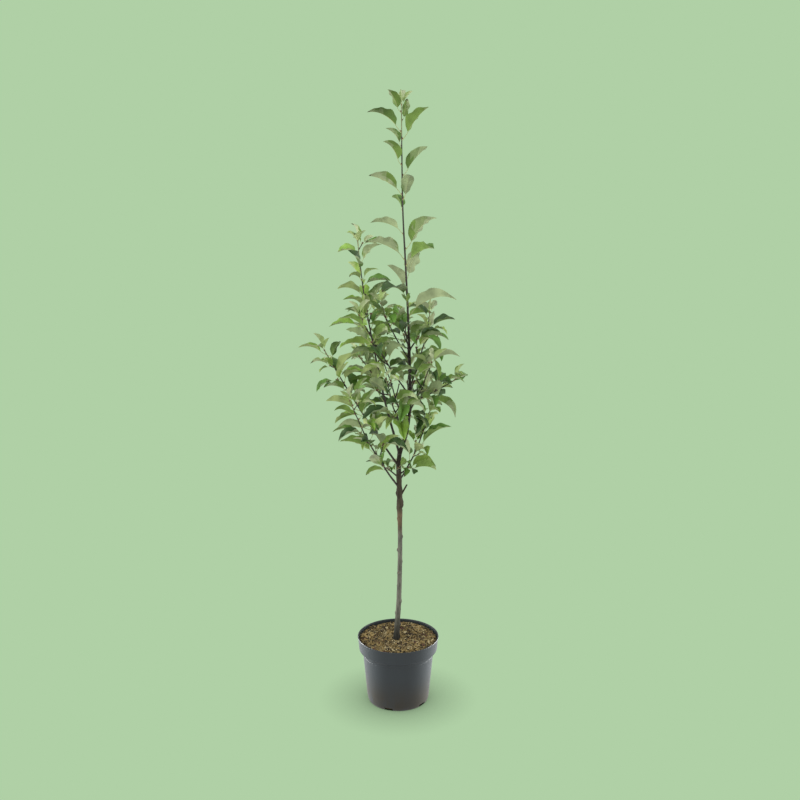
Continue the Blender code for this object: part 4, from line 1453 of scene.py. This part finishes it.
class TREE_OT_soil_bed(bpy.types.Operator):
    """Model the body of potting mix that fills the pot, crumbly on top"""

    bl_idname = "tree.soil_bed"
    bl_label = "Potting mix"

    def execute(self, context):
        soil = context.scene.tree_soil
        top = SOIL_LEVEL - CRUMB_DROP
        heights = (POT_WALL + GAP, FOOT_HEIGHT, STEP_FOOT, COLLAR_FOOT, top)
        rows = [(outer_wall(z) - POT_WALL - 1.5 * GAP, z) for z in heights]
        edge = rows[-1][0]
        rows += [(edge * (1 - i / SOIL_RINGS), SOIL_LEVEL) for i in range(1, SOIL_RINGS)]
        bed = turn_profile("soil_bed", rows, SOIL_SIDES)
        finish_turning(close=True, sharp=60)
        for vertex in bed.data.vertices:
            if vertex.co.z > top - 0.0001:
                vertex.co.z = soil_height(vertex.co.x, vertex.co.y)
        bed.data.materials.append(crumb_finish(soil))
        settle(bed, ["potting_mix"])
        return {"FINISHED"}


class TREE_OT_bark_chips(bpy.types.Operator):
    """Scatter chips of bark and wood over the potting mix"""

    bl_idname = "tree.bark_chips"
    bl_label = "Bark chips"

    def execute(self, context):
        soil = context.scene.tree_soil
        rng = random.Random(CHIP_SEED)
        edge = soil_edge()
        pile = Pile()
        for _ in range(soil.chips):
            length = soil.chip_length * rng.choice(CHIP_SIZES) * rng.uniform(0.8, 1.2)
            place = on_soil(rng, edge - 0.4 * length) + UP * rng.uniform(-0.0003, 0.0010)
            points, faces = chip(rng, length)
            finish = rng.choices(range(len(CHIP_TONES)), chip_shares(place))[0]
            pile.add((thrown(points, rng, place, CHIP_TILT), faces), finish)
        finishes = [chip_finish("chips_" + tone, tuple(getattr(soil, tone))) for tone in CHIP_TONES]
        pile.piece("bark_chips", ["potting_mix"], finishes, sharp=30)
        return {"FINISHED"}


class TREE_OT_wood_fibres(bpy.types.Operator):
    """Lay loose wood fibres and slivers among the chips"""

    bl_idname = "tree.wood_fibres"
    bl_label = "Wood fibres"

    def execute(self, context):
        soil = context.scene.tree_soil
        rng = random.Random(FIBRE_SEED)
        pile = Pile()
        for _ in range(soil.fibres):
            length = rng.uniform(*FIBRE_LENGTHS)
            bow, radius = length * rng.uniform(-0.2, 0.2), rng.choice(FIBRE_RADII)
            points = [Vector((length * s, bow * 4 * s * s, 0)) for s in (-0.5, -0.25, 0, 0.25, 0.5)]
            place = on_soil(rng, soil_edge() - 0.6 * length) + UP * FIBRE_LIFT
            laid = thrown(points, rng, place, FIBRE_TILT)
            pile.add(tube(Limb(laid, [0.4 * radius, radius, radius, radius, 0.4 * radius]), 5))
        fibre = chip_finish("wood_fibre", tuple(soil.pale))
        pile.piece("wood_fibres", ["potting_mix"], [fibre], sharp=50)
        return {"FINISHED"}


# Bark


def trunk_buds():
    """(point, way out, size by the largest) of the old buds that left bumps up the trunk."""
    rng = random.Random(BUMPS_SEED)
    height, azimuth, found = BUMPS_FROM, BUMPS_FIRST, []
    while height < BUMPS_TO:
        out = heading(azimuth + rng.uniform(-30, 30), 0)
        size = rng.uniform(0.6, 1.25) * (1.0 if height < BUMPS_FADE else 0.35)
        found.append((trunk_point(height), out, size))
        height += rng.uniform(0.020, 0.034)
        azimuth += BUMPS_TURN
    return found


def bark_relief(bark):
    """Relief of the trunk: root flare, old buds, branch collars, the knobbly graft and fine unevenness."""
    bumps = [(point, out, bark.bump_height * size, BUMP_WIDTH) for point, out, size in trunk_buds()]
    for height, azimuth, *_ in (*BOUGHS.values(), *SPURS.values()):
        bumps.append((trunk_point(height + 0.002), heading(azimuth, 20), *UNDER_BOUGH))
    for height, azimuth, size in GRAFT_KNOBS:
        bumps.append((trunk_point(height), heading(azimuth, 0), size, KNOB_WIDTH))
    lobes = math.atan2(FIRST_ACROSS.y, FIRST_ACROSS.x)

    def relief(out, middle):
        found = 0.0
        for point, way, height, width in bumps:
            off = middle.z - point.z
            if abs(off) < 3 * width:
                found += height * bell(off, width) * max(0.0, out.dot(way)) ** 2
        fade = max(0.0, 1 - (middle.z - SOIL_LEVEL) / FLARE_HEIGHT)
        turn = math.atan2(out.y, out.x) - lobes
        found += trunk_radius(middle.z) * FLARE_DEPTH * fade * math.cos(FLARE_LOBES * turn)
        graft = bell(middle.z - GRAFT_HEIGHT, GRAFT_SPREAD)
        around = Vector((out.x, out.y, middle.z * 130))
        knobbly = 0.0012 * noise.noise(around * 1.1) + 0.0007 * noise.noise(around * 2.3)
        found += graft * (knobbly - 0.0005)
        furrow = Vector((out.x * 3.2, out.y * 3.2, middle.z * 60))
        fine = Vector((out.x * 7, out.y * 7, middle.z * 240))
        found -= bark.slim * min(1.0, max(0.0, (middle.z - SLIM_FROM) / SLIM_OVER))
        return found + bark.roughness * (noise.noise(furrow) + 0.7 * noise.noise(fine))

    return relief


def snag_shape():
    """The dead stub, thin and with a broken end."""
    rng = random.Random(SNAG_SEED)
    start = trunk_point(SNAG_HEIGHT)
    way = heading(SNAG_AZIMUTH, SNAG_RISE)
    stub = Limb(
        [start + way * SNAG_LENGTH * s + UP * 0.0014 * s * s for s, _ in SNAG_ROWS],
        [SNAG_RADIUS * r for _, r in SNAG_ROWS],
    )

    def uneven(out, middle):
        return 0.00012 * noise.noise(middle * 900)

    points, faces = tube(stub.smooth(0.0014), SNAG_SIDES, relief=uneven)
    for p in points[-SNAG_SIDES:]:
        p += way * rng.uniform(-0.0012, 0.0010)
    return points, faces


class TREE_OT_trunk_bark(bpy.types.Operator):
    """Model the trunk's bark with its flare, old buds, graft and snag"""

    bl_idname = "tree.trunk_bark"
    bl_label = "Trunk"

    def execute(self, context):
        bark = context.scene.tree_bark
        run = trunk_limb(SOIL_LEVEL - 0.004, LEADER_START).smooth(bark.ring_step)
        pile = Pile()
        pile.add(tube(run, bark.trunk_sides, relief=bark_relief(bark)))
        pile.add(snag_shape())
        pile.piece("trunk_bark", ["trunk"], [trunk_finish(bark)], sharp=55)
        return {"FINISHED"}


def shoot_relief(stem, feet, collar):
    """Relief of a bough or shoot: its collar, a swelling under each leaf and fine unevenness."""
    bumps = [(foot, (base - foot).normalized()) for foot, base in feet]

    def relief(out, middle):
        found = 0.00010 * noise.noise(middle * 420) + 0.00007 * noise.noise(middle * 1100)
        for foot, way in bumps:
            gap = (middle - foot).length
            if gap < 0.005:
                swelling = LEAF_SWELLING * bell(gap, LEAF_SWELLING_SPREAD)
                found += swelling * max(0.0, out.dot(way)) ** 1.5
        return found + collar * bell((middle - stem.points[0]).length, COLLAR_SPREAD)

    return relief


class TREE_OT_bough_bark(bpy.types.Operator):
    """Model the bare foot of every bough, with the collar where it leaves the trunk"""

    bl_idname = "tree.bough_bark"
    bl_label = "Boughs"

    def execute(self, context):
        bark = context.scene.tree_bark
        bare, _ = plan_crown()
        pile = Pile()
        rng = random.Random(BOUGH_BUMP_SEED)
        for limb in bare.values():
            feet = []
            for i in range(2, int(limb.length / BOUGH_BUMP_EVERY)):
                foot, _, radius = limb.at(BOUGH_BUMP_EVERY * i + rng.uniform(-0.003, 0.003))
                feet.append((foot, foot + heading(rng.uniform(0, 360), 20) * radius))
            relief = shoot_relief(limb, feet, BOUGH_COLLAR)
            pile.add(tube(limb.smooth(BOUGH_RING), BOUGH_SIDES, -BOUGH_SLIM, relief))
        finish = twig_finish("bough_bark", bark.purple, 0.55)
        pile.piece("bough_bark", ["bough_" + name for name in BOUGHS], [finish], sharp=60)
        return {"FINISHED"}


class TREE_OT_shoot_wood(bpy.types.Operator):
    """Model the shoots, spurs and twigs that carry the leaves, brown below and green at the tips"""

    bl_idname = "tree.shoot_wood"
    bl_label = "Shoots"

    def execute(self, context):
        bark = context.scene.tree_bark
        _, shoots = plan_crown()
        pile = Pile()
        for name, (stem, twigs, leaves) in shoots.items():
            feet = [(leaf.foot, leaf.base) for leaf in leaves]
            collar = SPUR_COLLAR if name in SPURS else SHOOT_COLLAR
            slim = LEADER_SLIM if name == "leader" else SHOOT_SLIM
            relief = shoot_relief(stem, feet, collar)
            points, faces = tube(stem.smooth(SHOOT_RING), SHOOT_SIDES, -slim, relief)
            green_from = stem.length * (1.0 if name in SPURS else GREEN_FROM)
            rings = len(points) // SHOOT_SIDES
            run = range(len(faces))
            tint = [int(stem.length * (i // SHOOT_SIDES) / rings > green_from) for i in run]
            pile.add((points, faces, tint))
            for twig in twigs:
                relief = shoot_relief(twig, feet, TWIG_COLLAR)
                pile.add(tube(twig.smooth(TWIG_RING), TWIG_SIDES, relief=relief))
        tones = {"shoot_bark": bark.purple, "green_bark": bark.green}
        finishes = [twig_finish(tone, colour, 0.50) for tone, colour in tones.items()]
        pile.piece("shoot_wood", crown_nodes(), finishes, sharp=60)
        return {"FINISHED"}


# Leaves


def stalk_limb(leaf):
    """The leaf's stalk, curved from the stem into the midrib."""
    reach = leaf.base - leaf.foot
    size = min(1.2, max(0.5, leaf.length / LEAF_LENGTH_FOOT))
    out = leaf.foot + reach * 0.4 - leaf.up * 0.06 * leaf.length * 0.5
    before = leaf.base - leaf.along * reach.length * 0.35
    end = leaf.rib(0.03) - leaf.up_at(0.03) * 0.0002
    points = []
    for i in range(len(STALK_RADII)):
        t = i / (len(STALK_RADII) - 1)
        s = 1 - t
        points.append(leaf.foot * s**3 + out * 3 * s * s * t + before * 3 * s * t * t + end * t**3)
    return Limb(points, [size * radius for radius in STALK_RADII])


def bud_shape(foot, way, length):
    """A pointed bud with its scales drawn together."""
    return tube(Limb([foot + way * length * s for s, _ in BUD_ROWS], [length * r for _, r in BUD_ROWS]), 6)


class TREE_OT_leaf_stalks(bpy.types.Operator):
    """Model the stalk of every leaf"""

    bl_idname = "tree.leaf_stalks"
    bl_label = "Leaf stalks"

    def execute(self, context):
        _, shoots = plan_crown()
        pile = Pile()
        for _, _, leaves in shoots.values():
            for leaf in leaves:
                pile.add(tube(stalk_limb(leaf), 6))
        finish = stalk_finish(context.scene.tree_leaves)
        pile.piece("leaf_stalks", crown_nodes(), [finish], sharp=70)
        return {"FINISHED"}


class TREE_OT_buds(bpy.types.Operator):
    """Model the buds in the angles of the leaves, at the tips and up the trunk"""

    bl_idname = "tree.buds"
    bl_label = "Buds"

    def execute(self, context):
        look = context.scene.tree_leaves
        _, shoots = plan_crown()
        pile = Pile()
        for stem, twigs, leaves in shoots.values():
            for leaf in leaves:
                if leaf.length < YOUNG_LEAF:
                    continue
                stalk = (leaf.base - leaf.foot).normalized()
                way = (stalk + UP * 1.1).normalized()
                pile.add(bud_shape(leaf.foot + stalk * 0.0014 + UP * 0.0010, way, LEAF_BUD))
            for limb in (stem, *twigs):
                tip, before = limb.points[-1], limb.points[-2]
                pile.add(bud_shape(tip, (tip - before).normalized(), TIP_BUD))
        for point, out, size in trunk_buds():
            foot = point + out * trunk_radius(point.z) + UP * 0.001
            pile.add(bud_shape(foot, (out + UP * 1.6).normalized(), TRUNK_BUD * size))
        finish = twig_finish("bud_scales", look.bud, 0.5)
        pile.piece("buds", crown_nodes(), [finish], sharp=70)
        return {"FINISHED"}


class Blade:
    """The fine blade of a leaf: one closed thin sheet with a toothed, wavy margin and side veins in relief.

    A row is a place along the blade, counted in cells, and a share is a share of the half width there.
    COLUMNS are the shares of the points between rib and margin, and BANDS the share and side of the faces
    between them. SLANT draws the side veins to the tip, and SLIM is the width by the solid's. LIT_TO holds
    how far along a leaf light may shine through it, and TIP_SHADE_FROM where painted shade may darken a
    curled tip. TEETH are the points of the margin from one row to the next: how far on, and how far out.
    """

    COLUMNS = (0.42, 0.78)
    BANDS = ((0.6, -1), (0.25, -1), (0.0, -1), (0.0, 1), (0.25, 1), (0.6, 1))
    SLANT = 0.11
    SLIM = 0.87
    LIT_TO = (-0.6, -0.3, 0.0, 0.15, 0.3, 0.4, 0.55, 0.8)
    TIP_SHADE_FROM = (2.0, 2.0, 2.0, 2.0, 2.0, 2.0, 0.90, 0.82)
    TEETH = ((0.36, 1.0), (0.46, 0.0), (0.88, 1.0))
    UPPER, UNDER, PART_LIT, LIT, RIB, DRY = range(6)

    def __init__(self, leaf, look, rng):
        self.leaf = leaf
        self.look = look
        full = leaf.length / LEAF_LENGTH_FOOT
        self.cells = look.cells if full > 0.62 else (8 if full > 0.4 else 6)
        self.twist = math.radians(look.twist) * rng.uniform(-1, 1)
        self.sickle = rng.uniform(-0.05, 0.05)
        self.waves = rng.uniform(2.0, 4.2)
        self.phase = {-1: rng.uniform(0, math.tau), 1: rng.uniform(0, math.tau)}
        self.lift = look.wave * rng.uniform(0.4, 1.4)
        self.curl = rng.uniform(-0.10, 0.20) + rng.choice((0, 0, 0, 0.35))
        self.ragged = rng.uniform(0, 40)
        self.fold = leaf.fold * rng.uniform(0.9, 1.4)
        self.lit_to = rng.choice(self.LIT_TO)
        self.tip_shade_from = rng.choice(self.TIP_SHADE_FROM)
        self.high = 1 if leaf.side.z > 0 else -1
        self.points, self.faces, self.finishes = [], [], []

    def spot(self, row, share, hand, rise=0.0):
        """A point at that row and share of the half width. Rise is along the blade's normal."""
        leaf, r = self.leaf, row / self.cells
        t = min(1.0, r + self.SLANT * share * math.sin(math.pi * r))
        up, side = leaf.up_at(t), leaf.side
        turn = self.twist * (t - 0.35)
        side, up = math.cos(turn) * side - math.sin(turn) * up, math.cos(turn) * up + math.sin(turn) * side
        fold = self.fold * (1.30 - 0.30 * min(1.0, share))
        uneven = 0.24 * noise.noise(Vector((4.6 * t, self.ragged, hand)))
        half = self.SLIM * leaf.half_width(t) * (1 - 0.22 * t**6) * (1 + uneven)
        out = hand * math.cos(fold) * side + math.sin(fold) * up
        normal = math.cos(fold) * up - hand * math.sin(fold) * side
        swing = math.sin(math.tau * self.waves * t + self.phase[hand])
        wave = self.lift * share**2 * math.sin(math.pi * t) * swing
        quilt = self.look.vein * math.cos(math.pi * row) * math.sin(math.pi * min(1.0, share) ** 0.8 * 0.92)
        bend = leaf.side * self.sickle * t * t - leaf.up * self.curl * max(0.0, t - 0.6) ** 2 * 2.0
        lift = leaf.length * (wave - quilt) + rise
        return leaf.rib(t) + leaf.length * bend + half * share * out + normal * lift

    def put(self, point):
        self.points.append(point)
        return len(self.points) - 1

    def cover(self, face, flip, under, row, share, hand):
        """Adds a face, whose finish goes by its place on the blade."""
        self.faces.append(tuple(reversed(face)) if flip else tuple(face))
        self.finishes.append(self.tone(under, row / self.cells, share, hand))

    def tone(self, under, t, share, hand):
        """Light shines through an underside from its base out, and further along its higher half."""
        if share == 0.0:
            return self.RIB
        # Painted shade darkens a curled tip
        if t > self.tip_shade_from:
            return self.DRY
        if not under:
            return self.UPPER
        reach = t - 0.36 * share * hand * self.high
        reach += 0.30 * noise.noise(Vector((5.0 * t, 1.7 * share * hand, self.ragged)))
        if reach < self.lit_to:
            return self.LIT
        return self.PART_LIT if reach < self.lit_to + 0.24 else self.UNDER

    def rib_share(self, row):
        """Half the rib's breadth as a share of the half width."""
        r = row / self.cells
        half = self.leaf.half_width(r)
        return min(0.30, 0.009 * self.leaf.length * (1.15 - 0.8 * r) / half)

    def inner_row(self, row, under):
        """Points across the blade but for its margins, from left to right."""
        thick = 0.5 * self.look.thickness * (-1 if under else 1)
        r = row / self.cells
        rib = self.rib_share(row)
        keel = -0.0085 * self.leaf.length * (1.05 - r) if under else -0.0022 * self.leaf.length
        shares = [(-1, self.COLUMNS[1]), (-1, self.COLUMNS[0]), (-1, rib)]
        shares += [(1, 0.0)] + [(-hand, share) for hand, share in reversed(shares)]
        found = []
        for hand, share in shares:
            rise = thick + (keel if share == 0.0 else 0.0)
            found.append(self.put(self.spot(row, share, hand, rise)))
        return found

    def margin(self, hand):
        """Points along one margin by row: at each row, and on the two teeth between rows."""
        tooth, last = self.look.tooth, self.cells - 1
        rows = {}
        for row in range(1, last + 1):
            small = 0.6 if row in (1, last - 1) else 1.0
            rows[row] = [self.put(self.spot(row, 1.0, hand))]
            if row < last:
                rows[row] += [
                    self.put(self.spot(row + at, 1.0 + small * tooth * push * 3, hand))
                    for at, push in self.TEETH
                ]
        return rows

    def build(self):
        """Points, faces and finishes of both sides, which meet along the toothed margins."""
        base, tip = self.put(self.leaf.rib(0.0)), self.put(self.spot(self.cells, 0.0, 1))
        margins = {hand: self.margin(hand) for hand in (-1, 1)}
        for under in (False, True):
            rows = {row: self.inner_row(row, under) for row in range(1, self.cells)}
            first, last = rows[1], rows[self.cells - 1]
            for j, (share, hand) in enumerate(self.BANDS):
                self.cover((base, first[j + 1], first[j]), under, under, 0.6, share, hand)
                self.cover((last[j], last[j + 1], tip), under, under, self.cells - 0.4, share, hand)
                for row in range(1, self.cells - 1):
                    near, far = rows[row], rows[row + 1]
                    self.cover((near[j], near[j + 1], far[j + 1]), under, under, row + 0.3, share, hand)
                    self.cover((near[j], far[j + 1], far[j]), under, under, row + 0.7, share, hand)
            for hand in (-1, 1):
                self.fringe(rows, margins[hand], hand, under, base, tip)
        return self.points, self.faces, self.finishes

    def fringe(self, rows, margin, hand, under, base, tip):
        """Faces between the outer column and the toothed margin of one side."""
        column = 6 if hand > 0 else 0
        last = self.cells - 1
        at_base = (base, margin[1][0], rows[1][column])
        at_tip = (rows[last][column], margin[last][0], tip)
        faces = [(0, at_base), (last, at_tip)]
        for row in range(1, last):
            near, far = rows[row][column], rows[row + 1][column]
            notch, first, middle, second = margin[row]
            end = margin[row + 1][0]
            fan = ((near, notch, first), (near, first, middle), (near, middle, far))
            faces += [(row, face) for face in (*fan, (far, middle, second), (far, second, end))]
        for row, face in faces:
            self.cover(face, under != (hand < 0), under, row + 0.5, 0.9, hand)


@functools.lru_cache(maxsize=None)
def leaves_by_kind():
    """The leaves of each kind, dealt out by spray."""
    rng = random.Random(KIND_SEED)
    found = {kind: [] for kind in KINDS}
    for name, (_, _, leaves) in plan_crown()[1].items():
        chances = SPRAY_KINDS.get(name, OTHER_KINDS)
        for leaf in leaves:
            kind = rng.choices(KINDS[:3], chances)[0]
            found["young" if leaf.length < YOUNG_LEAF else kind].append(leaf)
    return found


class TREE_OT_leaves(bpy.types.Operator):
    """Model the blades of every kind of leaf: mature, deep green, fresh and young"""

    bl_idname = "tree.leaves"
    bl_label = "Leaves"

    def execute(self, context):
        look = context.scene.tree_leaves
        for kind in KINDS:
            seed, gloss, down = KIND_LOOKS[kind]
            rng = random.Random(seed)
            pile = Pile()
            for leaf in leaves_by_kind()[kind]:
                pile.add(Blade(leaf, look, rng).build())
            finishes = self.finishes(look, kind, gloss, down)
            pile.piece("leaves_" + kind, crown_nodes(), finishes, sharp=80)
        return {"FINISHED"}

    def finishes(self, look, kind, gloss, down):
        """Finishes of one kind, in the order of Blade's numbers for them."""
        upper, under, lit = (tuple(getattr(look, f"{kind}_{side}")) for side in ("upper", "under", "lit"))
        part_lit = tuple(0.5 * (a + b) for a, b in zip(under, lit))
        rows = (
            ("upper", upper, 0.42, gloss),
            ("under", under, 0.72, 0.25, down),
            ("part_lit", part_lit, 0.70, 0.25, down),
            ("lit", lit, 0.66, 0.25, 0.5 * down),
            ("rib", shade(look.rib, 0.9), 0.55, 0.3),
            ("dry", tuple(look.dry), 0.75, 0.2),
        )
        return [blade_finish(f"{kind}_{side}", *row) for side, *row in rows]


# Stage


def area_light(name, place, target, width, height, power, lit):
    """A soft light that shines on one collection only, so that the backdrop stays even."""
    light = bpy.data.lights.new(name, "AREA")
    light.shape, light.size, light.size_y, light.energy = "RECTANGLE", width, height, power
    obj = bpy.data.objects.new(name, light)
    bpy.context.scene.collection.objects.link(obj)
    obj.location = place
    obj.rotation_euler = (Vector(target) - obj.location).to_track_quat("-Z", "Y").to_euler()
    obj.visible_camera = False
    obj.light_linking.receiver_collection = lit


class TREE_OT_stage(bpy.types.Operator):
    """Set up the round backdrop, the lights and the camera"""

    bl_idname = "tree.stage"
    bl_label = "Stage"

    def execute(self, context):
        look = context.scene.tree_stage
        self.backdrop(look)
        self.lights(context, look)
        self.camera(context, look)
        context.scene.view_settings.view_transform = "Standard"
        return {"FINISHED"}

    def backdrop(self, look):
        """A flat floor that curves up into a round wall, which casts no light on the tree. It glows evenly,
        with a painted shadow round the pot and painted shade under its foot.
        """
        bend = look.wall_radius - look.floor_radius
        turns = [0.5 * math.pi * i / BEND_ROWS for i in range(BEND_ROWS + 1)]
        rows = [(look.floor_radius + bend * math.sin(t), bend * (1 - math.cos(t))) for t in turns]
        rows.append((look.wall_radius, look.wall_height))
        paper = turn_profile("backdrop", rows, BACKDROP_SIDES)
        finish_turning(close=False, sharp=60)
        finish = Finish("backdrop_paper", Base_Color=BLACK, Specular_IOR_Level=0.0, Emission_Strength=1.0)
        reach = {"Distance": look.shadow_reach}
        # Painted shadow: the glow darkens where ambient occlusion finds the pot close by
        near = finish.node("ShaderNodeAmbientOcclusion", {"samples": 5}, reach, "AO")
        lit = finish.mix(near, shade(look.backdrop, look.shadow_tone), tuple(look.backdrop))
        flat = finish.node("ShaderNodeMapping", {}, {"Vector": finish.place, "Scale": (1, 1, 0)})
        away = finish.node("ShaderNodeVectorMath", {"operation": "LENGTH"}, {0: flat}, "Value")
        # Painted shade: under the foot of the pot the glow is all but black
        outside_painted_shade = finish.step(away, BASE_RADIUS - POT_WALL, BASE_RADIUS + 0.0004)
        lit = finish.mix(outside_painted_shade, shade(look.backdrop, PAINTED_SHADE_UNDER_POT), lit)
        finish.feed(finish.shader.inputs["Emission Color"], lit)
        paper.data.materials.append(finish.material)
        paper.visible_diffuse = paper.visible_glossy = False
        paper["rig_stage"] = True

    def lights(self, context, look):
        world = bpy.data.worlds.new("soft_sky")
        context.scene.world = world
        world.use_nodes = True
        background = world.node_tree.nodes["Background"]
        background.inputs["Color"].default_value = (1.0, 1.0, 1.0, 1.0)
        background.inputs["Strength"].default_value = look.sky
        lit, lit_pot = (bpy.data.collections.new(name) for name in ("lit_by_lamps", "lit_at_the_foot"))
        for obj in context.scene.objects:
            if obj.type == "MESH" and "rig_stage" not in obj:
                lit.objects.link(obj)
        lit_pot.objects.link(bpy.data.objects["pot_shell"])
        for lamps, receivers in ((TREE_LAMPS, lit), (POT_LAMPS, lit_pot)):
            for name, row in lamps.items():
                area_light(name, *row, receivers)

    def camera(self, context, look):
        camera = bpy.data.cameras.new("camera")
        camera.lens = look.lens
        camera.sensor_width = 36.0
        camera.clip_end = 60.0
        obj = bpy.data.objects.new("camera", camera)
        context.scene.collection.objects.link(obj)
        obj.location = look.camera_place
        obj.rotation_euler = (math.radians(90 - look.camera_dip), 0, 0)
        context.scene.camera = obj


OPERATORS = (
    TREE_OT_pot_shell,
    TREE_OT_soil_bed,
    TREE_OT_bark_chips,
    TREE_OT_wood_fibres,
    TREE_OT_trunk_bark,
    TREE_OT_bough_bark,
    TREE_OT_shoot_wood,
    TREE_OT_leaf_stalks,
    TREE_OT_buds,
    TREE_OT_leaves,
    TREE_OT_stage,
)


class TREE_PT_sidebar(bpy.types.Panel):
    """Lists the pieces of the tree and their settings"""

    bl_label = "Potted fruit tree"
    bl_space_type = "VIEW_3D"
    bl_region_type = "UI"
    bl_category = "Fruit tree"

    def draw(self, context):
        for group, settings in SETTINGS.items():
            box = self.layout.box()
            box.label(text=settings.__doc__)
            for name in settings.__annotations__:
                box.prop(getattr(context.scene, group), name)
        for operator in OPERATORS:
            self.layout.operator(operator.bl_idname)


def register():
    for group, settings in SETTINGS.items():
        bpy.utils.register_class(settings)
        setattr(bpy.types.Scene, group, PointerProperty(type=settings))
    for operator in OPERATORS:
        bpy.utils.register_class(operator)
    bpy.utils.register_class(TREE_PT_sidebar)


def unregister():
    bpy.utils.unregister_class(TREE_PT_sidebar)
    for operator in reversed(OPERATORS):
        bpy.utils.unregister_class(operator)
    for group, settings in SETTINGS.items():
        delattr(bpy.types.Scene, group)
        bpy.utils.unregister_class(settings)


def main():
    register()
    bpy.ops.tree.pot_shell()
    bpy.ops.tree.soil_bed()
    bpy.ops.tree.bark_chips()
    bpy.ops.tree.wood_fibres()
    bpy.ops.tree.trunk_bark()
    bpy.ops.tree.bough_bark()
    bpy.ops.tree.shoot_wood()
    bpy.ops.tree.leaf_stalks()
    bpy.ops.tree.buds()
    bpy.ops.tree.leaves()
    bpy.ops.tree.stage()


if __name__ == "__main__":
    main()
